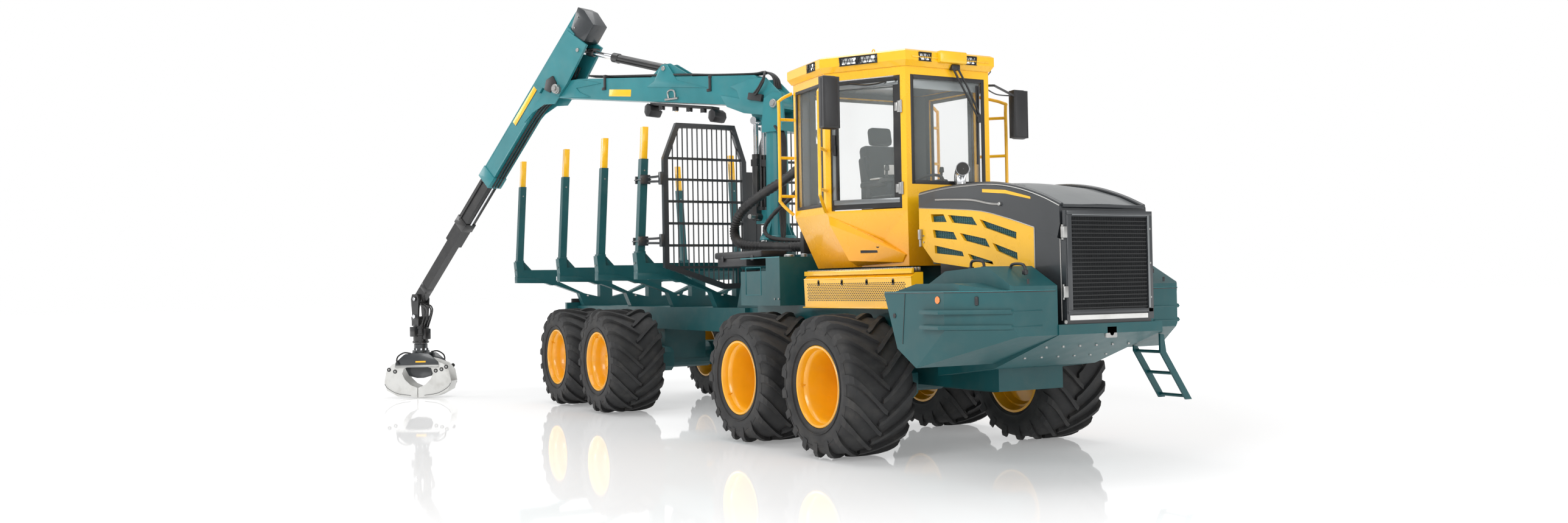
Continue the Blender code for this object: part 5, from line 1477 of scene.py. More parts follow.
    def _roof(self, palette: Palette) -> None:
        """Lamps with their guards in the roof's rim, the visor box and the lifting eyes."""
        wells, lamps, guards, trim = Form(), Form(), Form(), Form()
        rows = [(self.wall(0, 1, side)[0], 0.03 * side, 0.40, 2) for side in (1, -1)]
        rows += [(self.wall(1, 2, side)[0], -side * 0.20, 0.19, 1) for side in (1, -1)]
        rows += [(on_wall(*FRONT_WALL), y, 0.145, 1) for y in (-0.30, 0.235)]
        rows += [(on_wall(*BACK_WALL), y, 0.26, 1) for y in (-0.32, 0.32)]
        for matrix, middle, width, count in rows:
            self._lamp_row(matrix, middle, width, count, wells, lamps, guards)
        trim.box((0.90, -0.155, 3.640), (0.985, 0.160, 3.752), 0.012)
        trim.box((0.92, -0.45, 3.675), (0.945, 0.45, 3.690), 0.003)
        for x, y in ((0.55, -0.62), (-0.35, -0.78), (0.55, 0.62), (-0.35, 0.78)):
            ring = [(x + 0.022 * math.cos(a), y, 3.772 + 0.022 * math.sin(a))
                    for a in (i * math.tau / 12 for i in range(12))]
            trim.tube(ring, 0.006, sides=8, steps=1, closed=True)
        trim.piece("roof_trim", palette.yellow, "front", "yellow_paint")
        wells.piece("lamp_wells", palette.black, "front", "black_plastic")
        lamps.piece("lamp_reflectors", palette.mirror, "front", "polished_steel")
        guards.piece("lamp_guards", palette.mesh_wire, "front", "black_plastic")
        hatch = Form().box((-0.35, -0.35, self.roof_top - 0.004),
                           (0.45, 0.35, self.roof_top + 0.012), 0.008)
        for y in (-0.5, 0.5):
            hatch.box((-0.40, y - 0.01, self.roof_top - 0.004),
                      (0.5, y + 0.01, self.roof_top + 0.006), 0.003)
        hatch.piece("roof_panel", palette.yellow, "front", "yellow_paint")

    def _lamp_row(self, matrix: Matrix, middle: float, width: float, count: int, wells: Form,
                  lamps: Form, guards: Form) -> None:
        """One recess with lamps behind crossed bars, in a wall's frame."""
        low, high = self.roof_low + 0.045, self.roof_top - 0.028
        face = self.overhang + 0.0015
        well = Form().box((middle - width / 2, face - 0.012, low),
                          (middle + width / 2, face + 0.0005, high), 0.002)
        wells.take(well.cage, matrix)
        each = width / count
        for n in range(count):
            x = middle - width / 2 + each * (n + 0.5)
            lamp = Form().box((x - each * 0.36, face + 0.0004, low + 0.012),
                              (x + each * 0.36, face + 0.004, high - 0.012), 0.0015)
            lamps.take(lamp.cage, matrix)
        guard = Form()
        steps = max(int(width / 0.028), 4)
        for n in range(steps + 1):
            x = middle - width / 2 + width * n / steps
            shift = 0.012 if n % 2 else -0.012
            x0, x1 = (min(max(value, middle - width / 2),
                          middle + width / 2) for value in (x - shift, x + shift))
            guard.rod((x0, face + 0.007, low), (x1, face + 0.007, high), 0.0028, sides=6)
        for z in (low, (low + high) / 2, high):
            guard.rod((middle - width / 2, face + 0.007, z), (middle + width / 2, face + 0.007, z),
                      0.003, sides=6)
        guards.take(guard.cage, matrix)

    def _wiper(self, palette: Palette) -> None:
        """Two arms from the roof and the blade they carry."""
        wiper = Form().box((0.885, 0.015, 3.585), (0.935, 0.115, 3.64), 0.01)
        wiper.tube([(0.93, 0.03, 3.60), (0.925, 0.18, 3.37), (0.915, 0.34, 3.135)], 0.010, sides=8)
        wiper.tube([(0.93, 0.09, 3.60), (0.925, 0.22, 3.40), (0.915, 0.355, 3.16)], 0.010, sides=8)
        wiper.box((0.903, 0.325, 3.10), (0.922, 0.37, 3.18), 0.006)
        wiper.tube([(0.908, 0.352, 3.45), (0.900, 0.345, 3.10), (0.906, 0.318, 2.70)], 0.008,
                   sides=8)
        wiper.box((0.886, 0.325, 2.70), (0.896, 0.35, 3.46), 0.003)
        wiper.piece("wiper", palette.plastic, "front", "black_plastic")

    def _door(self, palette: Palette) -> None:
        """Hinges, rail and handle of the door."""
        matrix, half = self.wall(0, 1, -1)
        hinges = Form()
        for z in (3.222, 2.457):
            part = Form().box((half - 0.085, -0.010, z - 0.055), (half - 0.045, 0.016, z + 0.055),
                              0.005)
            part.rod((half - 0.045, 0.012, z - 0.06), (half - 0.045, 0.012, z + 0.06), 0.012,
                     sides=14, bevel=0.003)
            part.box((half - 0.115, -0.004, z - 0.04), (half - 0.08, 0.010, z + 0.04), 0.004)
            hinges.take(part.cage, matrix)
        hinges.piece("door_hinges", palette.steel, "cab_door", "polished_steel")
        inner = Form()
        part = Form().tube([(-half + 0.14, -0.055, 3.43), (0.0, -0.055, 3.425),
                            (half - 0.13, -0.055, 3.42)], 0.008, sides=8)
        part.box((-half + 0.075, -0.004, 2.83), (-half + 0.115, 0.020, 3.00), 0.008)
        part.box((-half + 0.095, 0.010, 2.80), (-half + 0.125, 0.034, 2.90), 0.008)
        part.tube([(half - 0.14, -0.05, 3.10), (half - 0.15, -0.06, 2.8),
                   (half - 0.14, -0.05, 2.5)], 0.011, sides=8)
        inner.take(part.cage, matrix)
        inner.piece("door_handle", palette.plastic, "cab_door", "black_plastic")
        sill = Form()
        part = Form().box((-half + 0.085, -0.030, 2.325), (half - 0.075, 0.003, 2.372), 0.006)
        part.box((-half + 0.085, -0.030, 3.43), (half - 0.075, 0.003, 3.47), 0.006)
        part.box((-half + 0.078, -0.030, 2.372), (-half + 0.112, 0.002, 3.43), 0.005)
        sill.take(part.cage, matrix)
        sill.piece("door_bars", palette.silver, "cab_door", "black_steel")

    def _locker(self, palette: Palette) -> None:
        """The faceted tool lockers under the door and opposite it, with grips and locks."""
        for side_name, side in SIDES:
            def at(x: float, y: float, z: float) -> tuple[float, float, float]:
                """A point on this side."""
                return (x, side * y, z)

            cover = Form()
            outer = [Vector(at(*point)) for point in self.locker]
            inner = [Vector((x, side * (side * y - 0.05), z)) for x, y, z in outer]
            count = len(outer)
            faces = [(0, 1, 4), (4, 1, 5), (5, 1, 2), (5, 2, 3), (0, 4, 3), (4, 5, 3)]
            faces.append(tuple(corner + count for corner in (0, 3, 2, 1)))
            faces += [(i, j, j + count, i + count) for i, j in ((0, 1), (1, 2), (2, 3), (3, 0))]
            cover.solid(outer + inner, faces)
            # the cab finish carries its painted shade, darker towards the bottom, onto the locker
            # cover
            cover.piece(f"tool_locker_{side_name}", palette.cab, "front", "yellow_paint",
                        smooth=12.0)
            grip = Form()
            matrix = TO_ROW @ Matrix.Translation(at(0.47, 0.718, 1.96)) @ Matrix.Rotation(
                -side * math.atan2(0.413, 0.685) + (math.pi if side > 0 else 0.0), 4, 'Z')
            grip.box((-0.11, -0.012, 0.018), (0.04, 0.004, 0.055), 0.006)
            grip.box((-0.03, -0.014, -0.10), (0.15, -0.002, -0.072), 0.004)
            grip.rod((0.155, -0.02, -0.035), (0.155, 0.006, -0.035), 0.022, sides=20, bevel=0.003)
            grip.piece(f"locker_lock_{side_name}", palette.plastic, "front", "black_plastic",
                       matrix)

    def _mirrors(self, palette: Palette) -> None:
        """Rounded mirror housings over the frame's plain ones, with their glass."""
        for side_name, side in SIDES:
            body = "cab_door" if side < 0 else "front"
            shell = Form()
            low, high = span(side, 1.036, 1.224)
            shell.box((0.505, low, 3.01), (0.604, high, 3.51), 0.035)
            made = shell.piece(f"mirror_housing_{side_name}", palette.plastic, body,
                               "black_plastic")
            made.data.shade_smooth()
            glass = Form()
            low, high = span(side, 1.055, 1.205)
            glass.box((0.501, low, 3.04), (0.506, high, 3.48), 0.002)
            glass.piece(f"mirror_glass_{side_name}", palette.mirror, body, "polished_steel")
            arm = Form().rod((0.56, side * 1.08, 3.49), (0.56, side * 1.08, 3.425), 0.016, sides=10)
            arm.tube([(0.72, side * 0.60, 3.465), (0.66, side * 0.78, 3.43),
                      (0.58, side * 1.05, 3.445)], 0.007, sides=8)
            arm.piece(f"mirror_stay_{side_name}", palette.black, body, "black_plastic")


# ------------------------------------------------------------------ load area
@dataclass(frozen=True)
class LoadDress:
    """The headboard's bars and clamps, and the stakes' sleeves and yellow tips."""

    bunks: tuple[float, ...] = (-7.92, -6.08, -4.67, -3.41)
    foot: tuple[float, float] = (1.36, 1.70)
    head: tuple[float, float] = (1.285, 3.10)

    def _stake_y(self, z: float) -> float:
        """The stake's distance from the middle at a height."""
        (y0, z0), (y1, z1) = self.foot, self.head
        return y0 + (y1 - y0) * (z - z0) / (z1 - z0)

    def dress(self, palette: Palette) -> None:
        """Adds the pieces, in the palette's finishes."""
        self._bars(palette)
        tips, gaps, sleeves, holes = Form(), Form(), Form(), Form()
        for x in self.bunks:
            for side in (1, -1):
                top, low = side * self._stake_y(3.483), side * self._stake_y(3.098)
                for shift in (-0.0235, 0.0235):
                    self._post(tips, x + shift, ((low, 3.098), (top, 3.483)), 0.0125, 0.036, 0.002)
                self._post(gaps, x, ((low, 3.10), (top, 3.4815)), 0.0115, 0.0335)
                sleeves.box((x - 0.056, side * 1.350 - 0.055, 1.962),
                            (x + 0.056, side * 1.350 + 0.055, 2.002), 0.006)
                sleeves.prism([(side * 1.29, 1.99), (side * 1.285, 1.75), (side * 1.06, 1.745)],
                              Plane.ACROSS_X, x - 0.012, x + 0.012, 0.002)
                y = side * self._stake_y(2.96)
                holes.rod((x - 0.048, y, 2.96), (x + 0.048, y, 2.96), 0.010, sides=10)
                holes.rod((x, side * 1.33, 1.86), (x, side * 1.424, 1.86), 0.012, sides=6)
                sleeves.prism([(side * y, z) for y, z in ((1.408, 1.76), (1.408, 1.668),
                                                          (0.96, 1.660), (0.86, 1.625),
                                                          (0.80, 1.632), (1.12, 1.748))],
                              Plane.ACROSS_X, x - 0.058, x + 0.058, 0.004)
        tips.piece("stake_tips", palette.yellow, "rear", "yellow_paint")
        gaps.piece("stake_tip_webs", palette.white, "rear", "yellow_paint")
        sleeves.piece("stake_sleeves", palette.teal, "rear", "teal_paint")
        for x in self.bunks:
            for side in (1, -1):
                copy = Form().rod((0, 0, -0.006), (0, 0, 0.014), 0.016, sides=6, bevel=0.002)
                holes.join(Repeats.grid(copy, (x - 0.13, side * 0.33, 1.46), (0.26, 0, 0), 2))
        holes.piece("stake_bolts", palette.steel, "rear", "polished_steel")

    @staticmethod
    def _post(form: Form, x: float, ends: Outline, half_x: float, half_y: float,
              bevel: float = 0.0) -> None:
        """A square post that leans sideways from its foot to its head."""
        corners = [(x + a, y + b, z) for y, z in ends for a, b in ((-half_x, -half_y),
                                                                   (half_x, -half_y),
                                                                   (half_x, half_y),
                                                                   (-half_x, half_y))]
        faces = [(0, 1, 2, 3), (4, 5, 6, 7), (0, 1, 5, 4), (1, 2, 6, 5), (2, 3, 7, 6), (3, 0, 4, 7)]
        form.solid(corners, faces, bevel)

    def _bars(self, palette: Palette) -> None:
        """Upright bars of both halves of the headboard, and the clamps on the nearest stakes."""
        outline = ((0.06, 1.545), (0.38, 1.535), (1.17, 1.80), (1.17, 3.09), (1.00, 3.51),
                   (0.22, 3.51), (0.07, 3.07))
        bars = Form()
        for side in (1, -1):
            for n in range(16):
                y = 0.125 + n * (1.105 - 0.125) / 15
                heights = []
                for (y0, z0), (y1, z1) in zip(outline, outline[1:] + outline[:1]):
                    if min(y0, y1) <= y <= max(y0, y1) and abs(y1 - y0) > 1e-6:
                        heights.append(z0 + (z1 - z0) * (y - y0) / (y1 - y0))
                if len(heights) < 2:
                    continue
                bars.rod((-3.12, side * y, min(heights) + 0.02),
                         (-3.12, side * y, max(heights) - 0.02), 0.0085, sides=8)
        bars.piece("headboard_bars", palette.charcoal, "rear", "charcoal_paint")
        clamps = Form()
        for side in (1, -1):
            for z in (2.85, 2.12):
                y = self._stake_y(z)
                for shift in (-0.035, 0.035):
                    clamps.tube([(-3.14, side * 1.165, z + shift),
                                 (-3.25, side * 1.20, z + shift * 0.8),
                                 (-3.36, side * (y - 0.02), z + shift * 0.7)], 0.014, sides=8)
                clamps.box((-3.15, side * 1.185 - 0.03, z - 0.075),
                           (-3.09, side * 1.185 + 0.03, z + 0.075), 0.008)
                clamps.box((-3.345, side * y - 0.065, z - 0.055),
                           (-3.325, side * y + 0.065, z + 0.055), 0.005)
                clamps.box((-3.495, side * y - 0.065, z - 0.045),
                           (-3.475, side * y + 0.065, z + 0.045), 0.005)
                for shift in (-0.060, 0.060):
                    clamps.rod((-3.51, side * y + shift, z), (-3.31, side * y + shift, z), 0.008,
                               sides=8)
        clamps.piece("headboard_clamps", palette.charcoal, "rear", "charcoal_paint")


# ------------------------------------------------------------------ crane
BOOM_ROOT = Vector((-0.10, 0.0, 3.68))
BOOM_TIP = Vector((3.556, 0.0, 4.238))
LIFT_FOOT = Vector((0.25, 0.0, 2.38))
CYLINDER_FOOT = Vector((1.677, 0.0, 4.30))
CYLINDER_EYE = Vector((3.156, 0.0, 4.709))
LINK_PIN = Vector((6.75, 0.0, 1.46))
GRAPPLE_TURN = math.radians(37.0)


def beside(point: Vector, shift: float) -> Vector:
    """A point moved sideways from the crane's own plane."""
    return point + Vector((0.0, shift, 0.0))


@dataclass(frozen=True)
class CraneDress:
    """Brackets, pins, hoses, lamps and covers along the crane."""

    stick_top: tuple[float, float] = (3.11, 5.175)

    def along(self, distance: float, height: float, side: float = 0.0) -> tuple[float, float,
                                                                                float]:
        """A point by its distance down the stick's axis and its height off it."""
        axis = (Vector((LINK_PIN.x, LINK_PIN.z)) - Vector(self.stick_top)).normalized()
        spot = Vector(self.stick_top) + axis * distance + Vector((-axis.y, axis.x)) * height
        return (spot.x, side, spot.y)

    def bar(self, form: Form, first: float, last: float, low: float, high: float, half: float,
            bevel: float = 0.004, middle: float = 0.0) -> None:
        """A box laid along the stick."""
        outline = [self.along(d,
                              h)[::2]
                   for d, h in ((first, low), (last, low), (last, high), (first, high))]
        form.prism(outline, Plane.ACROSS_Y, middle - half, middle + half, bevel)

    def dress(self, palette: Palette) -> None:
        """Adds the pieces, in the palette's finishes."""
        self._pillar(palette)
        self._boom(palette)
        self._stick(palette)
        self._extensions(palette)

    def _pillar(self, palette: Palette) -> None:
        """The pillar's foot ring, ribs and the hoses beside it."""
        ring = Form()
        for z, radius in ((2.02, 0.25), (2.10, 0.22)):
            ring.rod((0, 0, z), (0, 0, z + 0.05), radius, radius - 0.01, sides=40, bevel=0.006)
        for n in range(8):
            rib = Form().prism([(0.10, 2.12), (0.21, 2.12), (0.12, 2.34)], Plane.ACROSS_Y, -0.008,
                               0.008)
            ring.take(rib.cage, Matrix.Rotation(math.tau * n / 8, 4, 'Z'))
        ring.piece("pillar_foot", palette.crane, "crane", "crane_paint", TO_CRANE)
        pins = Form().rod(beside(BOOM_ROOT, -0.20), beside(BOOM_ROOT, 0.20), 0.050, sides=24,
                          bevel=0.005)
        pins.rod(beside(LIFT_FOOT, -0.225), beside(LIFT_FOOT, 0.225), 0.028, sides=20, bevel=0.004)
        pins.piece("pillar_pins", palette.steel, "crane", "polished_steel", TO_CRANE)
        hoses = Form()
        for n in range(5):
            side = 0.10 + 0.028 * n
            hoses.tube([(-0.17 - 0.012 * n, side, 2.10), (-0.19, side, 2.6),
                        (-0.205 - 0.008 * n, side, 3.05), (-0.19, side * 0.9, 3.30),
                        (-0.10, side * 0.8, 3.42)], 0.014, sides=8)
        hoses.piece("pillar_hoses", palette.hose, "crane", "black_plastic", TO_CRANE)

    def _boom(self, palette: Palette) -> None:
        """Leaf plates, pins, hoses, the lamp bar and the shackle of the boom."""
        leaves, pins, hoses, dark, lamps, plate = Form(), Form(), Form(), Form(), Form(), Form()
        for side in (1, -1):
            low, high = span(side, 0.100, 0.116)
            leaves.prism([(-0.16, 3.60), (0.05, 3.56), (0.40, 3.62), (0.66, 3.72), (0.76, 3.87),
                          (0.62, 3.84), (0.46, 3.80), (0.50, 3.90), (0.60, 3.955), (0.30, 4.02),
                          (0.06, 4.01), (-0.16, 3.80)], Plane.ACROSS_Y, low, high, 0.004)
            leaves.prism([(2.78, 4.235), (3.20, 4.335), (3.60, 4.335), (3.665, 4.22), (3.60, 4.125),
                          (3.30, 4.10), (2.98, 4.075), (3.18, 4.16), (3.24, 4.22)], Plane.ACROSS_Y,
                         low, high, 0.004)
            leaves.prism([(0.97, 3.985), (1.30, 4.025), (1.97, 4.10), (1.84, 4.16), (1.76, 4.29),
                          (1.70, 4.345), (1.63, 4.345), (1.575, 4.28), (1.46, 4.13)],
                         Plane.ACROSS_Y, *span(side, 0.080, 0.112), 0.004)
            pins.rod(beside(CYLINDER_FOOT, side * 0.055), beside(CYLINDER_FOOT, side * 0.128),
                     0.030, sides=20, bevel=0.004)
            pins.rod(beside(BOOM_TIP, side * 0.10), beside(BOOM_TIP, side * 0.215), 0.062, sides=24,
                     bevel=0.006)
            pins.rod(beside(BOOM_TIP, side * 0.21), beside(BOOM_TIP, side * 0.235), 0.036, sides=6,
                     bevel=0.004)
            pins.rod(beside(BOOM_ROOT, side * 0.10), beside(BOOM_ROOT, side * 0.215), 0.034,
                     sides=6, bevel=0.004)
        leaves.piece("boom_plates", palette.crane, "boom", "crane_paint", TO_CRANE)
        for n, side in enumerate((-0.055, -0.02, 0.02, 0.055)):
            hoses.tube([(-0.03, side, 3.88), (0.0, side, 4.00 + 0.006 * n), (0.12, side, 4.085),
                        (0.30, side, 4.085), (0.9, side, 4.140), (1.30, side * 1.7, 4.185),
                        (2.1, side * 1.7, 4.262), (2.7, side, 4.325), (3.05, side, 4.368)], 0.0125,
                       sides=8)
        for n, shift in enumerate((0.0, 0.035)):
            hoses.tube([(0.24, 0.130, 3.79 + shift), (0.12, 0.19, 3.84 + shift),
                        (0.02, 0.215, 3.94 + shift), (0.04, 0.16, 4.03 + shift * 0.5),
                        (0.10, 0.07, 4.085)], 0.013, sides=8)
        hoses.piece("boom_hoses", palette.hose, "boom", "black_plastic", TO_CRANE)
        for x, z in ((2.71, 4.245), (0.92, 4.04)):
            dark.box((x - 0.022, -0.122, z + 0.052), (x + 0.022, 0.122, z + 0.090), 0.004)
            dark.box((x - 0.018, 0.100, z - 0.09), (x + 0.018, 0.122, z + 0.07), 0.004)
            dark.box((x - 0.018, 0.100, z - 0.105), (x + 0.050, 0.122, z - 0.072), 0.004)
        dark.box((0.09, 0.112, 3.745), (0.30, 0.165, 3.83), 0.010,
                 Matrix.Rotation(math.radians(-12), 3, 'Y'))
        for x, z, tall in ((0.905, 3.665, 0.10), (1.965, 3.835, 0.105)):
            dark.prism([(x - 0.05, z + 0.02), (x - 0.06, z - 0.04), (x - 0.02, z - tall),
                        (x + 0.03, z - tall), (x + 0.06, z - 0.05), (x + 0.05, z + 0.03),
                        (x, z + 0.06)], Plane.ACROSS_Y, -0.11, 0.11, 0.010)
        dark.prism([(0.93, 3.725), (1.95, 3.872), (1.95, 3.905), (0.93, 3.758)], Plane.ACROSS_Y,
                   -0.075, 0.075, 0.004)
        for n in range(4):
            x = 1.10 + n * 0.23
            z = 3.725 + (x - 0.93) * 0.144
            dark.rod((x, 0.03, z - 0.052), (x, 0.03, z + 0.02), 0.040, sides=20, bevel=0.006)
            lamps.rod((x, 0.03, z - 0.056), (x, 0.03, z - 0.050), 0.032, sides=20)
        dark.piece("boom_fittings", palette.plastic, "boom", "black_plastic", TO_CRANE)
        lamps.piece("boom_lamps", palette.mirror, "boom", "polished_steel", TO_CRANE)
        pins.tube([(1.49, 0.112, 3.905), (1.49, 0.128, 3.99), (1.545, 0.128, 4.015),
                   (1.60, 0.128, 3.99), (1.60, 0.112, 3.905)], 0.010, sides=8)
        pins.rod((1.44, 0.12, 3.905), (1.65, 0.12, 3.905), 0.014, sides=10)
        pins.piece("boom_pins", palette.steel, "boom", "polished_steel", TO_CRANE)
        plate.box((2.25, 0.1048, 4.030), (2.64, 0.1068, 4.118), 0.001,
                  Matrix.Rotation(math.radians(-6.3), 3, 'Y'))
        plate.piece("boom_blank_plate", palette.yellow, "boom", "yellow_paint", TO_CRANE)

    def _stick(self, palette: Palette) -> None:
        """Cover, hatch, blank plate, lug edges and linkage of the stick and its cylinder."""
        cover = Form()
        outline = [self.along(d, h)[::2] for d, h in ((-0.035, 0.122), (-0.075, 0.0),
                                                      (-0.04, -0.272), (0.22, -0.285),
                                                      (0.30, -0.20), (0.40, -0.135), (0.55, -0.127),
                                                      (0.55, -0.065), (0.30, 0.02), (0.06, 0.10))]
        cover.prism(outline, Plane.ACROSS_Y, -0.128, 0.128, 0.008)
        cover.piece("stick_end_cover", palette.charcoal, "stick", "charcoal_paint", TO_CRANE)
        fittings = Form()
        bolt_line = ((0.06, 0.03), (0.30, -0.06), (0.55, -0.12), (0.20, -0.02))
        for distance, height in bolt_line:
            x, _, z = self.along(distance, height)
            fittings.rod((x, 0.12, z), (x, 0.136, z), 0.012, sides=6)
        for side in (1, -1):
            x, _, z = self.along(0.98, -0.36)
            fittings.rod((x, side * 0.15, z), (x, side * 0.20, z), 0.055, sides=24, bevel=0.005)
        fittings.rod(beside(CYLINDER_EYE, -0.175), beside(CYLINDER_EYE, 0.175), 0.026, sides=16,
                     bevel=0.003)
        fittings.piece("stick_pins", palette.steel, "stick", "polished_steel", TO_CRANE)
        hatch = Form()
        outline = [self.along(d, h)[::2] for d, h in ((0.90, -0.155), (1.02, -0.095),
                                                      (1.14, -0.155), (1.10, -0.27), (0.93, -0.28))]
        hatch.prism(outline, Plane.ACROSS_Y, 0.138, 0.178, 0.010)
        hatch.piece("stick_hatch", palette.plastic, "stick", "black_plastic", TO_CRANE)
        collar = Form()
        self.bar(collar, 2.72, 2.905, -0.140, 0.140, 0.120, 0.008)
        for side in (1, -1):
            self.bar(collar, 1.15, 2.72, -0.128, -0.112, 0.004, 0.001, side * 0.103)
            self.bar(collar, 0.05, 2.72, 0.112, 0.128, 0.004, 0.001, side * 0.103)
        outline = [self.along(d, h)[::2] for d, h in ((0.62, -0.10), (0.98, -0.41), (1.18, -0.40),
                                                      (1.32, -0.24), (1.55, -0.135), (1.75, -0.10))]
        for side in (1, -1):
            collar.prism(outline, Plane.ACROSS_Y, *span(side, 0.108, 0.122), 0.004)
        collar.piece("stick_collar", palette.crane, "stick", "crane_paint", TO_CRANE)
        plate = Form()
        self.bar(plate, 0.92, 1.90, 0.020, 0.100, 0.001, 0.0005, 0.1072)
        plate.piece("stick_blank_plate", palette.yellow, "stick", "yellow_paint", TO_CRANE)
        marks = Form()
        self.bar(marks, 0.93, 1.89, 0.012, 0.020, 0.001, 0.0, 0.1074)
        marks.piece("stick_plate_edge", palette.black, "stick", "yellow_paint", TO_CRANE)
        hoses = Form()
        for side in (-0.05, 0.0, 0.05):
            hoses.tube([self.along(0.62, -0.30, side), self.along(0.80, -0.33, side),
                        self.along(1.05, -0.30, side), self.along(1.30, -0.20, side),
                        self.along(1.60, -0.142, side), self.along(2.3, -0.140, side),
                        self.along(2.88, -0.146, side)], 0.012, sides=8)
        hoses.piece("stick_hoses", palette.hose, "stick", "black_plastic", TO_CRANE)
        barrel = Form()
        foot, end = CYLINDER_FOOT, CYLINDER_EYE
        axis = (end - foot).normalized()
        barrel.rod(foot + axis * 0.90, foot + axis * 1.015, 0.064, sides=28, bevel=0.008)
        barrel.rod(foot + axis * 0.03, foot + axis * 0.10, 0.064, sides=28, bevel=0.010)
        for side in (1, -1):
            below = Vector((0, side * 0.062, -0.042))
            barrel.tube([foot + axis * d + below for d in (0.14, 0.5, 0.92)], 0.013, sides=8)
        barrel.piece("stick_barrel_collars", palette.black, "stick_barrel", "black_steel", TO_CRANE)
        clevis = Form().rod(end - axis * 0.16, end - axis * 0.03, 0.050, sides=20, bevel=0.006)
        clevis.tube([end - axis * 0.10 + Vector((0, 0.05, 0.03)),
                     end - axis * 0.20 + Vector((0, 0.06, 0.055)),
                     end - axis * 0.32 + Vector((0, 0.055, 0.06))], 0.012, sides=8)
        clevis.piece("stick_rod_clevis", palette.black, "stick_rod", "black_steel", TO_CRANE)

    def _extensions(self, palette: Palette) -> None:
        """Collars, side pipes and scraper plates on both extensions."""
        first = Form()
        self.bar(first, 3.62, 3.76, -0.115, 0.115, 0.094, 0.006)
        for side in (1, -1):
            first.tube([self.along(d, 0.05, side * 0.090) for d in (2.95, 3.3, 3.66)], 0.012,
                       sides=8, steps=2)
        for height in (0.112, 0.128):
            first.tube([self.along(d, height, 0.0) for d in (2.93, 3.3, 3.64)], 0.011, sides=8,
                       steps=2)
        first.piece("extension_collar", palette.black, "extension_1", "black_steel", TO_CRANE)
        bright = Form().rod(self.along(2.92, -0.112), self.along(3.62, -0.112), 0.014, sides=12)
        bright.piece("extension_rod", palette.chrome, "extension_1", "polished_steel", TO_CRANE)
        second = Form()
        self.bar(second, 4.93, 5.02, -0.080, 0.080, 0.062, 0.006)
        for side in (-0.03, 0.03):
            second.tube([self.along(d, 0.070, side) for d in (3.78, 4.3, 4.96)], 0.011, sides=8,
                        steps=2)
        second.rod(beside(LINK_PIN, -0.118), beside(LINK_PIN, 0.118), 0.036, sides=20, bevel=0.004)
        second.piece("extension_tip_fittings", palette.black, "extension_2", "black_steel",
                     TO_CRANE)
        link = Form().box((6.66, -0.105, 1.14), (6.84, 0.105, 1.20), 0.012)
        link.box((6.69, 0.092, 0.90), (6.81, 0.155, 1.05), 0.010)
        link.box((6.57, -0.05, 0.86), (6.66, 0.05, 1.02), 0.010)
        for z in (0.82, 0.93, 1.03):
            link.rod((LINK_PIN.x, 0, z - 0.016), (LINK_PIN.x, 0, z + 0.016), 0.122, sides=32,
                     bevel=0.006)
        for side, bow in ((-0.06, 0.10), (-0.02, 0.13), (0.03, 0.12), (0.07, 0.09)):
            link.tube([(6.67, side, 1.38), (6.62 - bow * 0.4, side * 1.2, 1.34),
                       (6.60 - bow * 0.5, side, 1.25), (6.66, side, 1.02)], 0.012, sides=8)
        link.piece("rotator_details", palette.black, "tip_link", "black_steel", TO_CRANE)
        bright = Form()
        for side in (1, -1):
            bright.rod(beside(LINK_PIN, side * 0.098), beside(LINK_PIN, side * 0.122), 0.026,
                       sides=20, bevel=0.004)
            bright.rod((LINK_PIN.x, side * 0.100, 1.20), (LINK_PIN.x, side * 0.128, 1.20), 0.030,
                       sides=20, bevel=0.004)
        bright.box((6.83, 0.00, 0.93), (6.845, 0.06, 1.16), 0.004)
        bright.piece("rotator_pins", palette.chrome, "tip_link", "polished_steel", TO_CRANE)


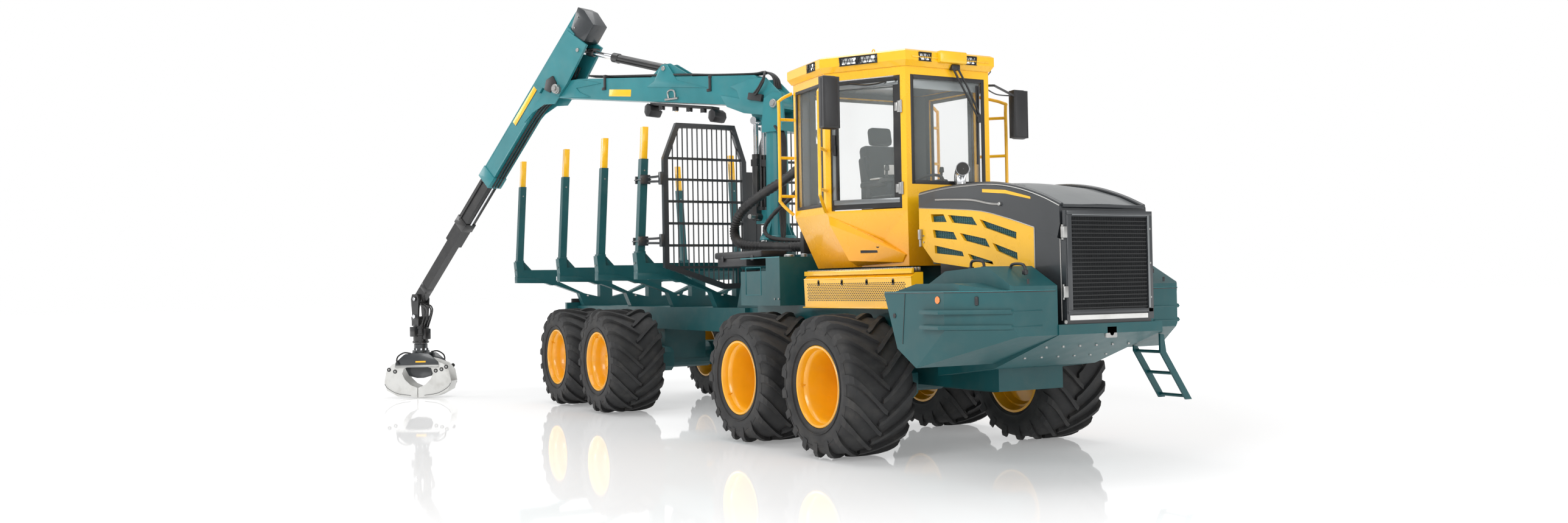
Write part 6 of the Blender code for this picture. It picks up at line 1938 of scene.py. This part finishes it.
@dataclass(frozen=True)
class GrappleDress:
    """The grapple's rotor bolts, crown plates, hoses and jaw bosses."""

    def dress(self, palette: Palette) -> None:
        """Adds the pieces, in the palette's finishes."""
        here = TO_CRANE @ Matrix.Translation((LINK_PIN.x, 0, 0)) @ Matrix.Rotation(GRAPPLE_TURN, 4,
                                                                                   'Z')
        crown = Form()
        outline = [(-0.32, 0.485), (0.32, 0.485), (0.315, 0.53), (0.20, 0.635), (0.165, 0.655),
                   (-0.165, 0.655), (-0.20, 0.635), (-0.315, 0.53)]
        for side in (1, -1):
            crown.prism(outline, Plane.ACROSS_Y, *span(side, 0.205, 0.216), 0.004)
        crown.prism([(-0.245, 0.47), (0.245, 0.47), (0.17, 0.32), (0.05, 0.285), (-0.05, 0.285),
                     (-0.17, 0.32)], Plane.ACROSS_Y, -0.045, 0.045, 0.008)
        crown.rod((0, 0, 0.655), (0, 0, 0.700), 0.125, sides=36, bevel=0.008)
        crown.rod((0, 0, 0.690), (0, 0, 0.795), 0.10, sides=36, bevel=0.008)
        crown.box((-0.12, -0.206, 0.635), (0.12, 0.206, 0.662), 0.008)
        crown.box((-0.065, -0.206, 0.46), (0.065, 0.206, 0.64), 0.006)
        made = crown.piece("crown_plates", palette.charcoal, "grapple", "charcoal_paint", here)
        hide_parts("grapple_crown")
        strip = Form()
        for side in (1, -1):
            strip.prism([(-0.325, 0.455), (0.325, 0.455), (0.32, 0.487), (-0.32, 0.487)],
                        Plane.ACROSS_Y, *span(side, 0.207, 0.220), 0.003)
        strip.piece("crown_strips", palette.steel, "grapple", "charcoal_paint", here)
        plate = Form().box((-0.13, 0.2155, 0.525), (0.02, 0.2175, 0.548))
        plate.piece("crown_blank_plate", palette.yellow, "grapple", "yellow_paint", here)
        bolts = Form()
        for n in range(10):
            turn = math.tau * n / 10
            spot = (0.107 * math.cos(turn), 0.107 * math.sin(turn))
            bolts.rod((*spot, 0.698), (*spot, 0.728), 0.011, sides=6)
        bolts.piece("rotor_bolts", palette.chrome, "grapple", "polished_steel", here)
        hose = Form()
        for side in (1, -1):
            hose.tube([(side * 0.09, side * 0.212, 0.660), (side * 0.18, side * 0.232, 0.672),
                       (side * 0.27, side * 0.232, 0.62), (side * 0.29, side * 0.234, 0.55),
                       (side * 0.26, side * 0.225, 0.50)], 0.012, sides=8)
        hose.piece("grapple_hoses", palette.hose, "grapple", "black_plastic", here)
        for name, s in (("jaw_outer", 1), ("jaw_inner", -1)):
            shell = Form()
            outline = [(0.085, 0.535), (0.14, 0.580), (0.22, 0.560), (0.38, 0.500), (0.462, 0.40),
                       (0.492, 0.24), (0.452, 0.115), (0.30, 0.034), (0.006, 0.006), (0.006, 0.150),
                       (0.11, 0.197), (0.19, 0.277), (0.225, 0.36), (0.20, 0.44), (0.10, 0.47)]
            for side in (1, -1):
                shell.prism([(s * a, z) for a, z in outline], Plane.ACROSS_Y,
                            *span(side, 0.160, 0.190), 0.005)
            shell.prism([(s * a, z) for a, z in ((0.006, 0.004), (0.30, 0.030), (0.455, 0.112),
                                                 (0.497, 0.24), (0.480, 0.242), (0.440, 0.124),
                                                 (0.29, 0.046), (0.006, 0.020))], Plane.ACROSS_Y,
                        -0.165, 0.165, 0.003)
            made = shell.piece(f"{name}_plates", palette.white, name, "worn_steel", here)
            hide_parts(f"grapple_{name}")
            rings, eyes, line = Form(), Form(), Form()
            spots = ((0.15, 0.50), (0.33, 0.395), (0.42, 0.425)) if s > 0 else ((0.15, 0.50),
                                                                                (0.27, 0.40),
                                                                                (0.355, 0.42),
                                                                                (0.425, 0.455))
            for a, z in spots:
                for side in (1, -1):
                    rings.rod((s * a, side * 0.186, z), (s * a, side * 0.197, z), 0.030, sides=24,
                              bevel=0.003)
                    eyes.rod((s * a, side * 0.196, z), (s * a, side * 0.202, z), 0.014, sides=16,
                             bevel=0.002)
            rings.piece(f"{name}_bosses", palette.black, name, "black_steel", here)
            eyes.piece(f"{name}_pin_ends", palette.steel, name, "polished_steel", here)
            for side in (1, -1):
                line.tube([(s * a, side * 0.191, z) for a, z in ((0.485, 0.215), (0.44, 0.150),
                                                                 (0.30, 0.072), (0.10, 0.040))],
                          0.0035, sides=6)
            line.piece(f"{name}_seams", palette.charcoal, name, "worn_steel", here)


# ------------------------------------------------------------------ behind and inside the cab
@dataclass(frozen=True)
class RearDress:
    """The big hose loop, the cover box, tank fittings and the tail's lamps."""

    def dress(self, palette: Palette) -> None:
        """Adds the pieces, in the palette's finishes."""
        loop = Form().tube([(-1.15, -0.34, 3.02), (-1.27, -0.35, 2.87), (-1.62, -0.38, 2.73),
                            (-2.04, -0.45, 2.59), (-2.36, -0.53, 2.42), (-2.46, -0.57, 2.24),
                            (-2.40, -0.58, 2.10), (-2.22, -0.56, 2.035), (-1.90, -0.48, 2.01),
                            (-1.45, -0.38, 1.985), (-1.20, -0.34, 1.985)], 0.046, sides=16,
                           steps=12, ribs=0.011)
        loop.tube([(-1.20, -0.22, 2.95), (-1.45, -0.30, 2.62), (-1.85, -0.40, 2.36),
                   (-1.98, -0.44, 2.20), (-1.85, -0.42, 2.10), (-1.50, -0.32, 2.06),
                   (-1.20, -0.26, 2.06)], 0.022, sides=10, steps=8, ribs=0.004)
        loop.box((-1.20, -0.44, 1.90), (-1.12, -0.16, 2.14), 0.01)
        loop.box((-1.19, -0.42, 2.90), (-1.08, -0.14, 3.08), 0.01)
        loop.box((-1.16, -0.30, 1.86), (-1.12, -0.24, 2.95), 0.008)
        made = loop.piece("hose_loop", palette.hose, None, "black_plastic")
        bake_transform(made)
        box = Form().box((-2.30, -0.92, 1.872), (-1.20, -0.60, 1.945), 0.020)
        box.box((-2.26, -0.90, 1.785), (-1.57, -0.62, 1.880), 0.012)
        for x in (-2.10, -1.40):
            box.box((x - 0.03, -0.925, 1.84), (x + 0.03, -0.905, 1.90), 0.006)
        box.piece("rear_cover_box", palette.plastic, "front", "black_plastic")
        seams = Form()
        for side in (1, -1):
            y = side * 0.9815
            seams.tube([(-1.43, y, 1.47), (-1.43, y, 1.76), (-1.10, y, 1.76), (-1.10, y, 1.47)],
                       0.004, sides=6, steps=1, closed=True)
            seams.tube([(-1.55, side * 0.978, 1.858), (-0.70, side * 0.978, 1.858)], 0.006, sides=6,
                       steps=1)
        seams.piece("tank_seams", palette.crane, "front", "teal_paint")
        fittings = Form()
        for side in (1, -1):
            fittings.rod((-0.90, side * 0.75, 1.858), (-0.90, side * 0.75, 1.890), 0.055, sides=28,
                         bevel=0.008)
            fittings.rod((-1.02, side * 0.50, 1.858), (-1.02, side * 0.50, 1.90), 0.035, sides=20,
                         bevel=0.006)
            for x in (-0.80, -0.72):
                fittings.rod((x, side * 0.978, 1.43), (x, side * 0.990, 1.43), 0.010, sides=6)
        fittings.piece("tank_fittings", palette.steel, "front", "polished_steel")

    @staticmethod
    def tail(palette: Palette) -> None:
        """Tail lamps in their housings on the rear frame's end."""
        housing, red, clear = Form(), Form(), Form()
        for side in (1, -1):
            low, high = span(side, 0.26, 0.46)
            housing.box((-8.165, low, 1.30), (-8.12, high, 1.42), 0.008)
            middle = (low + high) / 2
            red.rod((-8.172, middle - 0.045, 1.36), (-8.160, middle - 0.045, 1.36), 0.036, sides=24,
                    bevel=0.003)
            clear.rod((-8.172, middle + 0.045, 1.36), (-8.160, middle + 0.045, 1.36), 0.036,
                      sides=24, bevel=0.003)
        housing.piece("tail_lamp_housings", palette.plastic, "rear", "black_plastic")
        red.piece("tail_lamps", palette.amber, "rear", "yellow_paint")
        clear.piece("tail_reflectors", palette.mirror, "rear", "polished_steel")


@dataclass(frozen=True)
class SeatDress:
    """The upholstered seat with its arm consoles and the wheel's boss."""

    def dress(self, palette: Palette) -> None:
        """Adds the pieces, in the palette's finishes."""
        cushion = Form().box((-0.20, -0.25, 2.28), (0.30, 0.25, 2.42), 0.045)
        back_lean = Matrix.Rotation(math.radians(-10), 3, 'Y')
        cushion.box((-0.30, -0.24, 2.38), (-0.17, 0.24, 2.98), 0.05, back_lean)
        cushion.box((-0.34, -0.13, 2.98), (-0.24, 0.13, 3.17), 0.04, back_lean)
        for side in (1, -1):
            low, high = span(side, 0.20, 0.27)
            cushion.box((-0.14, low, 2.34), (0.28, high, 2.445), 0.030)
            cushion.box((-0.275, low, 2.46), (-0.135, high, 2.86), 0.030, back_lean)
        made = cushion.piece("seat_cushions", palette.cloth, "front", "seat_fabric")
        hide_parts("seat")
        base = Form().box((-0.16, -0.20, 2.16), (0.26, 0.20, 2.285), 0.02)
        base.box((-0.12, -0.17, 1.76), (0.20, 0.17, 2.17), 0.03)
        for side in (1, -1):
            low, high = span(side, 0.29, 0.37)
            base.box((-0.12, low, 2.52), (0.28, high, 2.585), 0.022)
            near, far = span(side, 0.27, 0.33)
            base.box((-0.16, near, 2.30), (-0.06, far, 2.56), 0.015)
            base.box((0.24, low - 0.01, 2.555), (0.36, high + 0.01, 2.60), 0.015)
            base.rod((0.30, side * 0.33, 2.59), (0.315, side * 0.33, 2.685), 0.014, sides=10)
            base.rod((0.313, side * 0.33, 2.67), (0.320, side * 0.33, 2.725), 0.026, 0.020,
                     sides=14, bevel=0.006)
        base.piece("seat_base", palette.plastic, "front", "seat_fabric")
        panel = Form().box((0.10, -0.39, 2.590), (0.25, -0.27, 2.606), 0.004)
        panel.box((0.02, -0.15, 2.66), (0.04, 0.07, 2.76), 0.006,
                  Matrix.Rotation(math.radians(-20), 3, 'Z'))
        panel.piece("console_panel", palette.white, "front", "seat_fabric")
        stand = Form().rod((-0.06, -0.04, 2.42), (0.03, -0.04, 2.67), 0.012, sides=10)
        stand.piece("console_stand", palette.plastic, "front", "seat_fabric")


def main() -> None:
    """Builds the looks in order."""
    logging.basicConfig(level=logging.INFO, format="%(name)s: %(message)s")
    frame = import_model()
    Studio().make()
    palette = Palette.mixed()
    FrameNodes(palette).paint(frame["nodes"])
    Wheel().dress(palette)
    parts = (HoodDress(), GrilleDress(), BoxDress(), BoardDress(), CabDress(), LoadDress(),
             CraneDress(), GrappleDress(), RearDress(), SeatDress())
    for part in parts:
        part.dress(palette)
    RearDress.tail(palette)


if __name__ == "__main__":
    main()
